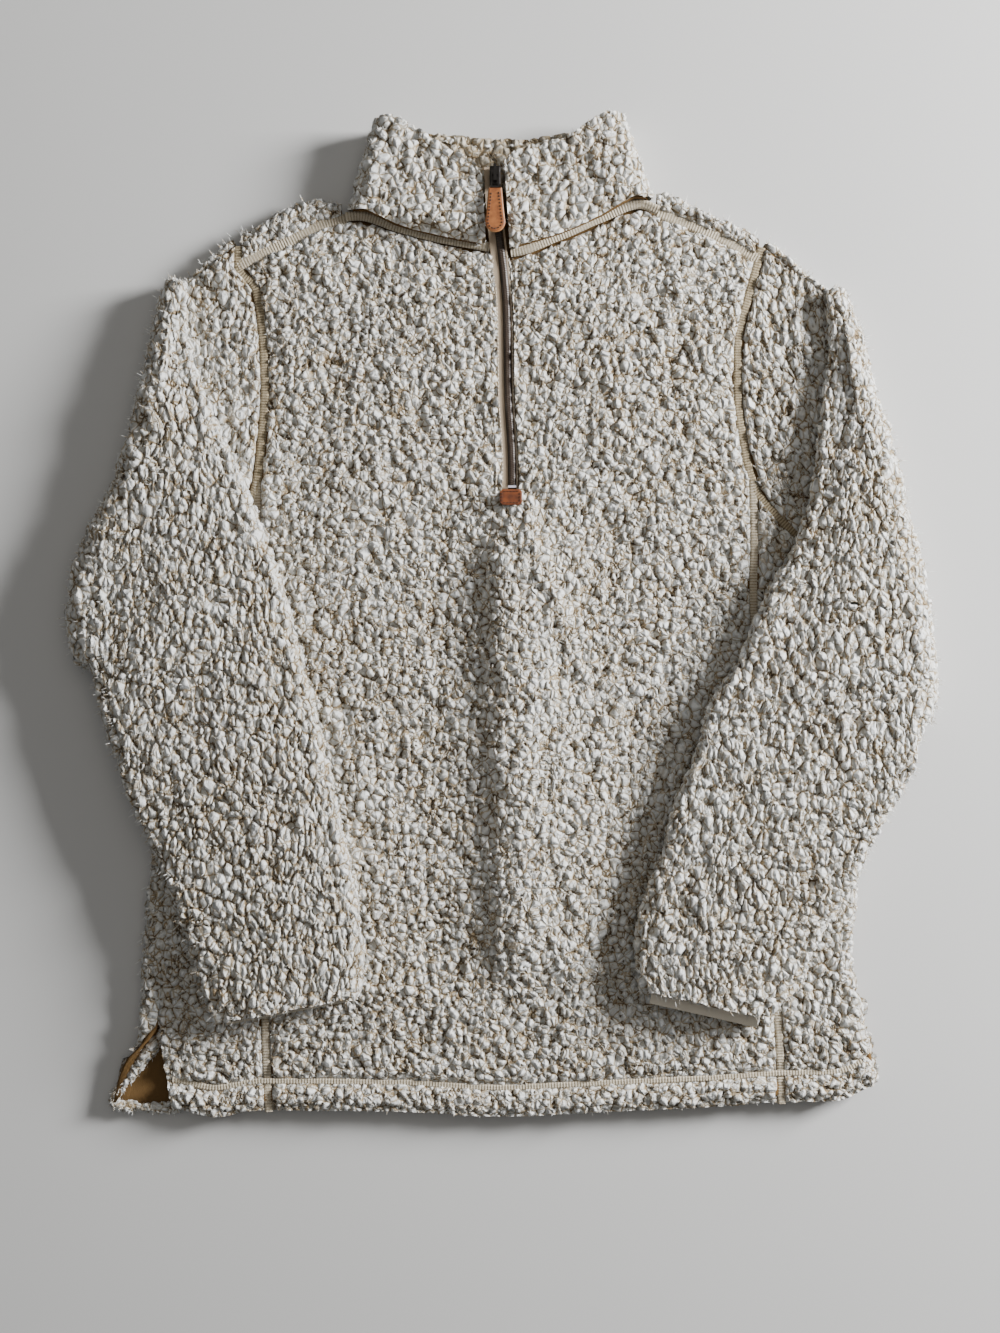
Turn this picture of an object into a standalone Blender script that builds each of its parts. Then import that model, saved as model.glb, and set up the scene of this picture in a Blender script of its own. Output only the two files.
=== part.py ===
"""Sherpa fleece pullover with a stand collar and a quarter zip, laid flat with its sleeves folded over the front.

The garment lies face up on the plane z = 0, +Y towards the collar, +X to the right as it is looked at.
Every cloth piece is a wall of knit ground and curly pile. A piece is worked out as a middle surface with a
direction at each of its points: the inside of the wall stands INSIDE mm from that surface, the outside REACH mm.
Lengths in the tables are millimetres; put_mesh turns them into metres.
"""

import math

import bmesh
import bpy
import numpy as np

MM = 0.001
CENTRE = (-1.1, -1.0)     # middle of the laid garment's box in the tables; it becomes the origin

# Cloth
WALL = 8.0                # knit ground and curly pile together
INSIDE = 1.0              # half of the space between two layers that lie on each other
REACH = WALL + INSIDE     # from the middle surface to the outside of the pile
SEAM_GAP = 0.8            # each side of a seam keeps this far from its line
ARMHOLE_GAP = 1.6         # the body's panels keep this far from an armhole's seam
COLLAR_WALL = 6.8         # each of the collar's two layers
COLLAR_INSIDE = 2.0
COLLAR_BETWEEN = 0.6      # between the collar's inner and outer layer
COLLAR_REACH = COLLAR_INSIDE + 2 * COLLAR_WALL + COLLAR_BETWEEN
COLLAR_DIP = 7.0          # how far the collar's wings come down to the front at their base seam

# Body
BODY_LENGTH = 658.0       # front, from hem to collar
SIDE_LENGTH = 430.0       # side panels, from hem to armhole
BACK_LOW = -378.0         # the back's rows run from here
BACK_HIGH = 278.0         # to here before they are stretched to the hem and the shoulders
UNDERARM = -2.0           # height of the underarm points; the back turns up round its edges below them
BACK_EDGE = 12.0          # width at each side of the back over which it starts to turn up
RIM_TURN = 86.0           # degrees that the back turns up along its right edge
HEM_ROWS = (0.0, 5.0, 13.0, 22.0, 31.0)   # rows over the hem's edge and its sunk stitching

# Sleeves
# a sleeve's columns, from its overarm to its underarm edge, as parts of the armhole's length
ACROSS = np.array([0, 0.051, 0.121, 0.254, 0.373, 0.491, 0.614, 0.704, 0.812, 1])
UNDERARM_SHIFT = (10.0, 2.0)      # room for the rounded underarm edge beside the body
FOLD_RADIUS = 11.0        # middle surface of the sleeve round its crease
FOLD_STEPS = 5
THIN_END = 0.36           # part of the thickness lost where the crease starts at the shoulder
SLEEVE_CROWN = 4.0        # how much the top of a folded sleeve swells in its middle
SETTLE = 1.5              # how far a folded sleeve comes down between its crease and its cuff

# Zip
SLIT_LEFT = -8.5          # edges of the front's slit, from the chain's middle
SLIT_RIGHT = 4.8
SLIT_END = 87.0           # height on the front where the slit ends
CHAIN_WIDTH = 5.6
CHAIN_DEPTH = 2.4
TAPE = 1.2
PATCH_SIZE = (17.0, 12.0, 1.6)
HINGE = (-6.0, 331.0, 34.4)
PULL_LENGTH = 33.0
PULL_WIDTH = 14.5
PULL_THICK = 2.6

# Outlines on the laid garment: x, y
HEM = ((-300, -376), (-251, -376), (-218, -382), (-181, -377), (-80, -378), (-3, -382), (44, -380),
       (105, -377), (151, -375), (213, -371), (251, -370), (276, -360), (290, -350))
RIGHT_EDGE = ((45, 266), (-100, 270), (-194, 272), (-236, 268), (-271, 266), (-298, 273), (-328, 279),
              (-362, 286))
LEFT_SEAM = ((50, -247), (-4, -247), (-36, -249.5), (-60, -250), (-198, -255), (-251, -257), (-298, -259),
             (-313, -260), (-376, -251))
LEFT_PRINCESS = ((100, -188), (60, -188), (0, -186), (-200, -181), (-311, -180), (-380, -177))
RIGHT_PRINCESS = ((100, 191), (60, 192), (22, 191), (-200, 203), (-286, 207), (-336, 210), (-380, 211))
LEFT_ARMHOLE = ((-203, 281), (-203, 266), (-190, 250), (-184, 211), (-182, 176), (-184, 141), (-187, 105),
                (-196, 80), (-222, 62), (-254, 0))
RIGHT_ARMHOLE = ((198, 280), (196, 271), (190, 250), (181, 211), (178, 188), (180, 164), (186, 118),
                 (198, 84), (224, 62), (265, 0))
FRONT_TOP = ((-203, 266), (-166, 284), (-130, 300), (-111, 303), (-80, 294), (-49, 286), (-7, 278), (4, 275),
             (44, 288), (74, 301), (105, 312), (121, 306), (159, 291), (196, 271))
SHOULDER_TOP = ((-206, 290), (-191, 297), (-157, 316), (-143, 319), (-126, 315), (118, 325),
                (124, 324), (151, 312), (182, 297), (204, 284))
BACK_NECK = ((-124, 303), (-104, 305), (-80, 304), (0, 301), (80, 307), (100, 313), (118, 313))
NECK_LEFT = -124.0
NECK_RIGHT = 118.0

# How the back wraps round the body's left edge and opens into the vent: y, where it leaves the flat,
# degrees turned, straight length past the turn
BACK_WRAP = ((-2, -240, 0, 3), (-14, -250, 60, 3), (-34, -254, 180, 4), (-60, -255, 180, 4), (-182, -259, 180, 3),
             (-236, -264, 180, 6), (-298, -267, 180, 7), (-312, -268, 176, 7), (-328, -270, 110, 9),
             (-346, -278, 45, 9), (-380, -288, 14, 9))

# Folds of the front: x and y of the crest's two ends, width on its left and right, height, length of its fades
FOLDS = ((2, 30, 6, -236, 16, 50, 10.0, 36),
         (-44, 30, -52, -250, 26, 16, -2.0, 60),
         (15, 72, 48, -10, 9, 12, 3.0, 26),
         (34, 92, 66, 30, 8, 10, 2.2, 24),
         (-96, -292, -50, -296, 14, 14, 2.6, 22),
         (70, -130, 52, -296, 14, 16, 2.0, 40),
         (-70, 190, -120, 60, 24, 30, 1.4, 60),
         (70, 220, 118, 90, 26, 26, 1.4, 60))
FOLD_FOLLOW = 0.6         # how much of a fold the inside of the front takes
HEM_TURN = 22.0           # height of the turned-up hem's stitching above its edge
HEM_GROOVE = 2.2

# Sleeve outlines: crease from the shoulder down to the elbow, then the two long edges of the folded-over part,
# from the crease to the cuff
SLEEVES = {
    "left": {
        "side": -1,
        "armhole": LEFT_ARMHOLE,
        "crease": ((-258, 252), (-262, 241), (-272, 195), (-280, 161), (-291, 118), (-303, 87), (-317, 60),
                   (-328, 30), (-332, -1), (-330, -20), (-325, -38)),
        "overarm": ((-238, 252), (-236, 222), (-229, 184), (-212, 141), (-194, 99), (-180, 64), (-164, 18),
                    (-154, -20), (-140, -74), (-128, -121), (-118, -167), (-108, -213), (-103, -259),
                    (-109, -292)),
        "underarm": ((-314, -53), (-306, -70), (-295, -101), (-281, -144), (-265, -174), (-255, -198),
                     (-238, -244), (-225, -290), (-216, -311)),
    },
    "right": {
        "side": 1,
        "armhole": RIGHT_ARMHOLE,
        "crease": ((262, 246), (269, 232), (275, 211), (282, 176), (298, 126), (309, 72), (321, 26),
                   (328, -20), (330, -50), (328, -78)),
        "overarm": ((243, 248), (245, 222), (244, 195), (241, 172), (235, 130), (230, 87), (217, 49), (195, 10),
                    (178, -32), (155, -67), (144, -105), (128, -144), (117, -182), (105, -213), (97, -251),
                    (103, -287)),
        "underarm": ((319, -97), (314, -112), (298, -140), (276, -178), (263, -209), (248, -228), (228, -267),
                     (217, -286), (199, -309)),
    },
}

# Collar, x and y: base seam and top edge of each wing from the zip outwards, then of the back from left to right
COLLAR = {
    "left": {"base": ((-13, 280), (-49, 287), (-80, 295), (-104, 305)),
             "top": ((-16, 332), (-22, 340), (-37, 349), (-57, 361), (-72, 371), (-84, 376))},
    "right": {"base": ((5, 277), (44, 289), (74, 302), (100, 315)),
              "top": ((1, 341), (6, 347), (20, 353), (51, 362), (68, 374), (78, 380))},
    "back": {"base": ((-104, 309), (-80, 306), (0, 303), (80, 309), (100, 317)),
             "top": ((-84, 374), (-66, 370), (-41, 367), (-10, 364), (13, 364), (36, 366), (60, 371),
                     (78, 377))},
}

ZIP_LINE = ((90, 7), (111, 7), (134, 6), (164, 4), (226, 3), (257, 1), (288, -3), (300, -4.2), (330, -6),
            (342, -6.5))
ZIP_HEIGHT = ((90, 13.6), (250, 14.2), (276, 18), (300, 24), (342, 26))


# Curves and tables

def monotone(table, at):
    """Value of a two-column table at each place, on a smooth curve that never overshoots its points."""
    x, y = (np.array(column, float) for column in zip(*sorted(table)))
    at = np.clip(np.asarray(at, float), x[0], x[-1])
    step = np.diff(x)
    slope = np.diff(y) / step
    tangent = np.zeros_like(y)
    tangent[0], tangent[-1] = slope[0], slope[-1]
    same = slope[1:] * slope[:-1] > 0
    weight_a = 2 * step[1:] + step[:-1]
    weight_b = step[1:] + 2 * step[:-1]
    with np.errstate(divide="ignore", invalid="ignore"):
        mean = (weight_a + weight_b) / (weight_a / slope[:-1] + weight_b / slope[1:])
    tangent[1:-1] = np.where(same, mean, 0.0)
    k = np.clip(np.searchsorted(x, at, side="right") - 1, 0, len(step) - 1)
    t = (at - x[k]) / step[k]
    return ((2 * t**3 - 3 * t**2 + 1) * y[k] + (t**3 - 2 * t**2 + t) * step[k] * tangent[k]
            + (3 * t**2 - 2 * t**3) * y[k + 1] + (t**3 - t**2) * step[k] * tangent[k + 1])


def along(points, fractions):
    """Points of a smooth curve through the given points, at fractions of its length."""
    points = np.array(points, float)
    chord = np.concatenate(([0.0], np.cumsum(np.linalg.norm(np.diff(points, axis=0), axis=1))))
    fine = np.linspace(0, chord[-1], 400)
    curve = np.stack([monotone(list(zip(chord, points[:, k])), fine) for k in range(points.shape[1])], axis=1)
    length = np.concatenate(([0.0], np.cumsum(np.linalg.norm(np.diff(curve, axis=0), axis=1))))
    wanted = np.asarray(fractions, float) * length[-1]
    return np.stack([np.interp(wanted, length, curve[:, k]) for k in range(points.shape[1])], axis=-1)


def unit(vectors):
    """Vectors scaled to length one."""
    return vectors / np.maximum(np.linalg.norm(vectors, axis=-1, keepdims=True), 1e-9)


def beside(points, fractions, distance):
    """Points of a smooth plane curve moved sideways: positive distances move it left of its direction."""
    fine = along(points, np.linspace(0, 1, 200))
    tangent = unit(np.gradient(fine, axis=0))
    fine += distance * np.stack([-tangent[:, 1], tangent[:, 0]], axis=1)
    return along(fine, fractions)


def smooth_step(value, low, high):
    """0 below low, 1 above high, smooth between them."""
    t = np.clip((np.asarray(value, float) - low) / (high - low), 0, 1)
    return t * t * (3 - 2 * t)


# Meshes and materials

def material(name, colour, roughness, metallic=0.0):
    """A Principled material."""
    mat = bpy.data.materials.new(name)
    mat.use_nodes = True
    shader = mat.node_tree.nodes["Principled BSDF"]
    shader.inputs["Base Color"].default_value = (*colour, 1.0)
    shader.inputs["Roughness"].default_value = roughness
    shader.inputs["Metallic"].default_value = metallic
    return mat


def put_mesh(name, points, faces, mat, smooth_angle=50):
    """A new object from points in millimetres; its faces are made to point outwards."""
    used = sorted({k for face in faces for k in face})
    place = {old: new for new, old in enumerate(used)}
    mesh = bpy.data.meshes.new(name)
    mesh.from_pydata((np.asarray(points)[used] * MM).tolist(), [], [[place[k] for k in face] for face in faces])
    body = bmesh.new()
    body.from_mesh(mesh)
    bmesh.ops.recalc_face_normals(body, faces=body.faces)
    body.to_mesh(mesh)
    body.free()
    mesh.shade_smooth()
    mesh.set_sharp_from_angle(angle=math.radians(smooth_angle))
    mesh.materials.append(mat)
    obj = bpy.data.objects.new(name, mesh)
    bpy.context.collection.objects.link(obj)
    return obj


def put_wall(name, inside, outside, mat, active=None, ring=False, turned=()):
    """A closed wall between two grids of points with the same rows and columns.

    A ring joins its last column to its first. Only the active cells are built, and a rim closes the wall
    along each edge that only one active cell has. The turned cells are split along their other diagonal.
    """
    rows, columns = outside.shape[:2]
    wide = columns if ring else columns - 1
    if active is None:
        active = np.ones((rows - 1, wide), bool)
    count = rows * columns
    outer = []
    for row, column in zip(*np.nonzero(active)):
        right = (column + 1) % columns
        a, b = row * columns + column, row * columns + right
        if (row, column) in turned:
            outer += [(a, b, a + columns), (b, b + columns, a + columns)]
        else:
            outer += [(a, b, b + columns), (a, b + columns, a + columns)]
    edges = {(face[k], face[(k + 1) % 3]) for face in outer for k in range(3)}
    inner = [tuple(k + count for k in reversed(face)) for face in outer]
    rim = [(b, a, a + count, b + count) for a, b in sorted(edges) if (b, a) not in edges]
    points = np.concatenate([outside.reshape(-1, 3), inside.reshape(-1, 3)])
    return put_mesh(name, points, outer + inner + rim, mat)


def put_box(name, size, centre, mat, bevel=0.0):
    """A block, with its edges rounded if bevel is given."""
    body = bmesh.new()
    bmesh.ops.create_cube(body, size=1.0)
    bmesh.ops.scale(body, vec=[s * MM for s in size], verts=body.verts)
    bmesh.ops.translate(body, vec=[c * MM for c in centre], verts=body.verts)
    mesh = bpy.data.meshes.new(name)
    body.to_mesh(mesh)
    body.free()
    mesh.materials.append(mat)
    obj = bpy.data.objects.new(name, mesh)
    bpy.context.collection.objects.link(obj)
    if bevel:
        edge = obj.modifiers.new("rounding", "BEVEL")
        edge.width = bevel * MM
        edge.segments = 2
    return obj


# Body

def relief(x, y):
    """Height of the front's folds above its flat lie: each fold is a crest with a soft slope on both sides."""
    total = np.zeros(np.broadcast(x, y).shape)
    for x0, y0, x1, y1, left, right, height, fade in FOLDS:
        length = math.hypot(x1 - x0, y1 - y0)
        run = ((x1 - x0) / length, (y1 - y0) / length)
        forward = (x - x0) * run[0] + (y - y0) * run[1]
        across = (y - y0) * run[0] - (x - x0) * run[1]
        width = np.where(across * (1 if run[1] < 0 or abs(run[1]) < 0.3 else -1) < 0, left, right)
        over = np.maximum(np.maximum(-forward, forward - length), 0)
        total += height * np.exp(-(across / width)**2 - (over / fade)**2)
    return total


def hem_groove(x, y):
    """Depth of the sunk stitching that holds the turned-up hem, and the soft fall of the hem's edge."""
    above = y - monotone(HEM, x)
    return HEM_GROOVE * np.exp(-((above - HEM_TURN) / 4.0)**2) + 2.5 * (1 - smooth_step(above, 0, 7))


def front_levels(x, y):
    """Heights of the front's inside and outside at a place on the laid garment."""
    rise = relief(x, y)
    return REACH + INSIDE + FOLD_FOLLOW * rise, 2 * REACH + rise - hem_groove(x, y)


def armhole_x(side, y):
    """Where an armhole's seam lies at a height on the body."""
    line = along(SLEEVES[side]["armhole"], ACROSS)[::-1]
    return np.interp(y, line[:, 1], line[:, 0])


def armhole_y(side, x):
    """Height of the lower, outward run of an armhole's seam."""
    line = along(SLEEVES[side]["armhole"], ACROSS)
    line = line[line[:, 1] < 112]
    order = np.argsort(line[:, 0])
    return np.interp(x, line[order, 0], line[order, 1])


def front_edge(side, y):
    """The front's side: the armhole above, the princess seam below."""
    princess = LEFT_PRINCESS if side == "left" else RIGHT_PRINCESS
    return np.where(y > princess[0][0], armhole_x(side, y), monotone(princess, y))


def panel(left, right, top, across, up, gap_left=SEAM_GAP, gap_right=SEAM_GAP, gap_top=SEAM_GAP):
    """Plan of a panel: columns run between its two side curves, rows from the hem to its top curve."""
    across, up = np.meshgrid(across, up)
    y = BACK_LOW + up * BODY_LENGTH
    x = across
    for _ in range(6):
        x_left = left(y) + gap_left
        x = x_left + across * (right(y) - gap_right - x_left)
        low = monotone(HEM, x)
        y = low + up * (top(x) - gap_top - low)
    return x, y


def hem_rows(length, *above):
    """Row fractions: the hem's rows, then the rows given."""
    return [*(row / length for row in HEM_ROWS), *above]


def build_front(mat):
    """The front, one piece from princess seam to princess seam, slit down its middle for the zip."""
    def zip_x(y):
        return monotone(ZIP_LINE, y)

    slit_row = (SLIT_END - monotone(HEM, 0.0)) / BODY_LENGTH
    up = hem_rows(BODY_LENGTH, 0.09, 0.14, 0.2, 0.27, 0.34, 0.41, 0.48, 0.54, 0.6, 0.64, 0.675, slit_row,
                  0.76, 0.82, 0.88, 0.93, 0.96, 0.975, 1.0)
    share = np.linspace(0, 1, 10)
    left = panel(lambda y: front_edge("left", y), lambda y: zip_x(y) + SLIT_LEFT,
                 lambda x: monotone(FRONT_TOP, x), share**0.8, up, gap_right=0)
    right = panel(lambda y: zip_x(y) + SLIT_RIGHT, lambda y: front_edge("right", y),
                  lambda x: monotone(FRONT_TOP, x), share**1.2, up, gap_left=0)
    x = np.concatenate([left[0], right[0]], axis=1)
    y = np.concatenate([left[1], right[1]], axis=1)
    low, high = front_levels(x, y)
    active = np.ones((len(up) - 1, x.shape[1] - 1), bool)
    active[up.index(slit_row):, len(share) - 1] = False
    return put_wall("front", np.stack([x, y, low], -1), np.stack([x, y, high], -1), mat, active)


def build_side(name, seam_side, mat):
    """A side panel between a princess seam and the body's edge.

    The left one ends at its seam on top; the right one turns down round the edge and ends at half height.
    """
    up = hem_rows(SIDE_LENGTH, 0.14, 0.25, 0.38, 0.52, 0.66, 0.8, 0.92, 1.0)
    if seam_side < 0:
        x, y = panel(lambda y: monotone(LEFT_SEAM, y), lambda y: front_edge("left", y),
                     lambda x: armhole_y("left", x), np.array([0, 0.168, 0.336, 0.57, 0.8, 1]), up,
                     gap_top=ARMHOLE_GAP)
        low, high = front_levels(x, y)
        return put_wall(name, np.stack([x, y, low], -1), np.stack([x, y, high], -1), mat)
    x, y = panel(lambda y: front_edge("right", y), lambda y: monotone(RIGHT_EDGE, y) - REACH,
                 lambda x: armhole_y("right", x), np.array([0, 0.106, 0.3, 0.5, 0.75, 1]), up,
                 gap_right=0, gap_top=ARMHOLE_GAP)
    low, high = front_levels(x, y)
    inside = [np.stack([x, y, low], -1)]
    outside = [np.stack([x, y, high], -1)]
    edge = np.stack([x[:, -1], y[:, -1], np.full(len(up), REACH)], -1)
    for degrees in (30, 60, 88):
        turn = math.radians(degrees)
        way = np.array([math.sin(turn), 0, math.cos(turn)])
        inside.append((edge + INSIDE * way)[:, None])
        outside.append((edge + (high[:, -1:] - REACH) * way)[:, None])
    return put_wall(name, np.concatenate(inside, 1), np.concatenate(outside, 1), mat)


def back_row(y, lip_steps, flat, rim_steps):
    """Base points and outward directions of one row across the back, in x and z, from its left seam."""
    if y > UNDERARM:
        left = float(armhole_x("left", y)) + ARMHOLE_GAP
        right = float(armhole_x("right", y)) - ARMHOLE_GAP
        turn_left = lip = turn_right = 0.0
    else:
        rows = sorted(BACK_WRAP)
        left, turn_left, lip = (float(monotone([(row[0], row[k]) for row in rows], y)) for k in (1, 2, 3))
        right = float(monotone(RIGHT_EDGE, y)) - REACH
        turn_right = RIM_TURN * float(1 - smooth_step(y, UNDERARM - 26, UNDERARM - 4))
    bases, ways = [], []
    turn = math.radians(turn_left)
    for k in range(lip_steps):
        share = 1 - k / lip_steps
        if k == 0:
            bases.append((left - lip * math.cos(turn), REACH + lip * math.sin(turn)))
            ways.append((-math.sin(turn), -math.cos(turn)))
            continue
        angle = turn * share
        flatness = 1 - turn_left / 180
        bases.append((left + BACK_EDGE * (1 - flatness * share) * flatness, REACH))
        ways.append((-math.sin(angle), -math.cos(angle)))
    start = left + BACK_EDGE * (1 - turn_left / 180)
    stop = right - BACK_EDGE * (1 - turn_right / RIM_TURN)
    for share in flat:
        bases.append((start + (stop - start) * share, REACH))
        ways.append((0.0, -1.0))
    for k in range(1, rim_steps + 1):
        angle = math.radians(turn_right) * k / rim_steps
        bases.append((stop + (right - stop) * k / rim_steps, REACH))
        ways.append((math.sin(angle), -math.cos(angle)))
    return np.array(bases), np.array(ways)


def build_back(mat):
    """The back: flat on the ground, turned up round the left edge and over both shoulders."""
    heights = [0, 0.05, 0.075, 0.1, 0.13, 0.22, 0.34, 0.46, 0.524, 0.546, 0.564, 0.573, 0.577, 0.619, 0.6616,
               0.6915, 0.718, 0.8, 0.88, 0.95, 1.0]
    lip_steps, rim_steps = 6, 3
    flat = np.array([0, 0.06, 0.115, 0.175, 0.26, 0.36, 0.46, 0.54, 0.64, 0.74, 0.823, 0.885, 0.945, 1])
    shoulder_turns = (45, 90, 135, 180)
    rows = []
    for share in heights:
        y_line = BACK_LOW + share * (BACK_HIGH - BACK_LOW)
        base, way = back_row(y_line, lip_steps, flat, rim_steps)
        x = base[:, 0]
        low = monotone(HEM, x) + 2
        is_neck = (x > NECK_LEFT) & (x < NECK_RIGHT)
        top = np.where(is_neck, monotone(BACK_NECK, x), monotone(SHOULDER_TOP, x) - REACH)
        stretch = smooth_step(share, 0.66, 1.0)
        y = y_line + (low - BACK_LOW) * (1 - smooth_step(share, 0, 0.3)) + (top - BACK_HIGH) * stretch
        rows.append((x, y, base[:, 1], way))
    inside = [np.stack([x + INSIDE * w[:, 0], y, z + INSIDE * w[:, 1]], -1) for x, y, z, w in rows]
    outside = [np.stack([x + REACH * w[:, 0], y, z + REACH * w[:, 1]], -1) for x, y, z, w in rows]
    x, y = rows[-1][:2]
    seam = monotone(FRONT_TOP, x) + SEAM_GAP
    for degrees in shoulder_turns:
        turn = math.radians(degrees)
        for grid, distance in ((inside, INSIDE), (outside, REACH)):
            grid.append(np.stack([x, y + distance * math.sin(turn),
                                  np.full_like(x, REACH - distance * math.cos(turn))], -1))
    for grid, distance in ((inside, INSIDE), (outside, REACH)):
        grid.append(np.stack([x, np.minimum(seam, y - 1), np.full_like(x, REACH + distance)], -1))
    inside, outside = np.array(inside), np.array(outside)
    active = np.ones((len(inside) - 1, inside.shape[1] - 1), bool)
    middle = 0.5 * (x[1:] + x[:-1])
    active[len(heights) - 1:, (middle > NECK_LEFT) & (middle < NECK_RIGHT)] = False
    return put_wall("back", inside, outside, mat, active)


# Sleeves

def sleeve_middle(spec, across, unfolded_rows, folded_rows):
    """Middle surface of a sleeve with its upward directions, from the armhole over the crease to the cuff.

    Rows run from the overarm edge to the underarm edge. Before the crease they lie REACH above the ground;
    round the crease they turn half a circle; after it they lie on top, their upward direction reversed.
    """
    side = spec["side"]
    armhole = along(spec["armhole"], across)
    armhole[:, 0] += side * SEAM_GAP
    armhole[-1] += (side * UNDERARM_SHIFT[0], UNDERARM_SHIFT[1])
    share = THIN_END * np.exp(-(across / 0.16)**2)
    radius = FOLD_RADIUS * (1 - share)
    crease = along(spec["crease"], across)
    tangent = unit(np.gradient(crease, axis=0))
    outward = side * np.stack([-tangent[:, 1], tangent[:, 0]], axis=1)
    reach = REACH * (1 - share)
    axis = crease - outward * (radius + reach)[:, None]
    points, ways, thick = [], [], []
    for part in np.linspace(0, 1, unfolded_rows):
        plan = armhole * (1 - part) + axis * part
        points.append(np.column_stack([plan, np.full(len(across), REACH)]))
        ways.append(np.tile([0.0, 0.0, 1.0], (len(across), 1)))
        thick.append(1 - share * part)
    for k in range(1, FOLD_STEPS + 1):
        turn = math.pi * k / FOLD_STEPS
        plan = axis + outward * (radius * math.sin(turn))[:, None]
        points.append(np.column_stack([plan, REACH + radius * (1 - math.cos(turn))]))
        ways.append(np.column_stack([-outward * math.sin(turn), np.full(len(across), math.cos(turn))]))
        thick.append(1 - share)
    over = beside(spec["overarm"], folded_rows, side * REACH)
    under = beside(spec["underarm"], folded_rows, -side * REACH)
    bend = axis - (axis[0] + (axis[-1] - axis[0]) * across[:, None])
    off = axis - bend - over[0] - (under[0] - over[0]) * across[:, None]
    for part, start, stop in zip(folded_rows[1:], over[1:], under[1:]):
        plan = start + (stop - start) * across[:, None]
        plan = plan + bend * (1 - smooth_step(part, 0, 0.55)) + off * (1 - smooth_step(part, 0, 0.12))
        lower = share * (1 - smooth_step(part, 0, 0.4))
        height = REACH + 2 * FOLD_RADIUS * (1 - lower) - SETTLE * part
        points.append(np.column_stack([plan, height]))
        ways.append(np.tile([0.0, 0.0, -1.0], (len(across), 1)))
        thick.append(1 - lower)
    return np.array(points), np.array(ways), np.array(thick)


def build_sleeve(name, spec, mat):
    """A sleeve, one tube open at the armhole and at the cuff."""
    across = ACROSS
    folded = np.array([0, 0.045, 0.1, 0.18, 0.28, 0.39, 0.5, 0.62, 0.74, 0.86, 0.95, 1.0])
    points, ways, thick = sleeve_middle(spec, across, 2, folded)
    folded_part = np.concatenate([np.zeros(len(points) - len(folded) + 1), folded[1:]])
    swell = np.sin(math.pi * across)[None, :]**0.7 * smooth_step(folded_part, 0.0, 0.25)[:, None]
    walls = []
    for reach, crown in ((INSIDE, 0.4 * SLEEVE_CROWN), (REACH, SLEEVE_CROWN)):
        near = points + ways * (reach * thick)[..., None]
        far = points - ways * (reach * thick + crown * swell)[..., None]
        rims = []
        # later is how much of the next step's direction an edge's own direction takes
        for column, sign, later in ((0, -1, 0.5), (-1, 1, 0.3)):
            edge, up, size = points[:, column], ways[:, column], reach * thick[:, column]
            step = unit(np.diff(edge, axis=0))
            run = unit(np.concatenate([step[:1], later * step[1:] + (1 - later) * step[:-1], step[-1:]]))
            out = unit(np.cross(run, up)) * spec["side"] * sign
            rims.append([edge + size[:, None] * (math.cos(turn) * up + math.sin(turn) * out)
                         for turn in (math.pi / 4, math.pi / 2, 3 * math.pi / 4)])
        ring = [near[:, k] for k in range(len(across))] + rims[1]
        ring += [far[:, k] for k in reversed(range(len(across)))] + rims[0][::-1]
        walls.append(np.stack(ring, axis=1))
    return put_wall(name, walls[0], walls[1], mat, ring=True, turned=[(0, len(across) - 2), (0, len(across) - 3)])


def cuff_line(spec, count):
    """Points along the middle of a sleeve's open end, from the overarm to the underarm edge."""
    points = sleeve_middle(spec, np.linspace(0, 1, count), 2, np.array([0, 0.9, 1.0]))[0]
    return points[-1]


def build_binding(name, spec, width, mat):
    """The smooth strip that faces the inside of a cuff and shows past its fleece."""
    line = cuff_line(spec, 7)
    run = unit(line[-1] - line[0])
    out = np.array([run[1], -run[0], 0.0]) * spec["side"] * -1
    out = out if out[1] < 0 else -out
    corners = []
    for start, low, high in ((0.5, -5.5, -3.3), (width, -5.0, -2.8)):
        for height in (low, high):
            corners.append(line + out * start + np.array([0, 0, height]))
    outside = np.stack([corners[1], corners[3]], axis=0)
    inside = np.stack([corners[0], corners[2]], axis=0)
    return put_wall(name, inside, outside, mat)


# Collar

def collar_middle(across, back_share, up):
    """Middle surface of the collar with its outward directions.

    Columns run from the zip along the left wing, half a turn round its fold, along the back, round the right
    fold and back to the zip. Rows run from the base seam to the top edge.
    """
    turns = np.radians([36, 72, 108, 144])
    points, ways = [], []

    def wing(side, shares):
        base = along(COLLAR[side]["base"], shares)
        top = along(COLLAR[side]["top"], shares)
        for k in range(len(shares)):
            plan = base[k] + (top[k] - base[k]) * up[:, None]
            near = smooth_step(1 - shares[k], 0.08, 0.35)
            dip = COLLAR_DIP * near * np.maximum(1 - up / 0.16, 0)**2
            points.append(np.column_stack([plan, COLLAR_REACH - dip]))
            ways.append(np.tile([0.0, 0.0, 1.0], (len(up), 1)))

    def fold(sign, start, stop, order):
        for turn in order:
            blend = smooth_step(turn, 0, math.pi)
            points.append(start + (stop - start) * blend)
            ways.append(np.tile([sign * math.sin(turn), 0.0, math.cos(turn)], (len(up), 1)))

    back_base = along(COLLAR["back"]["base"], back_share)
    back_top = along(COLLAR["back"]["top"], back_share)
    back = [np.column_stack([back_base[k] + (back_top[k] - back_base[k]) * up[:, None],
                             np.full(len(up), COLLAR_REACH)]) for k in range(len(back_share))]
    wing("left", across)
    fold(-1, points[-1], back[0], turns)
    for column in back:
        points.append(column)
        ways.append(np.tile([0.0, 0.0, -1.0], (len(up), 1)))
    mark = len(points)
    wing("right", across[::-1])
    right_points, right_ways = points[mark:], ways[mark:]
    del points[mark:], ways[mark:]
    fold(1, right_points[0], back[-1], turns[::-1])
    points += right_points
    ways += right_ways
    return np.stack(points, axis=1), np.stack(ways, axis=1)


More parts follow.
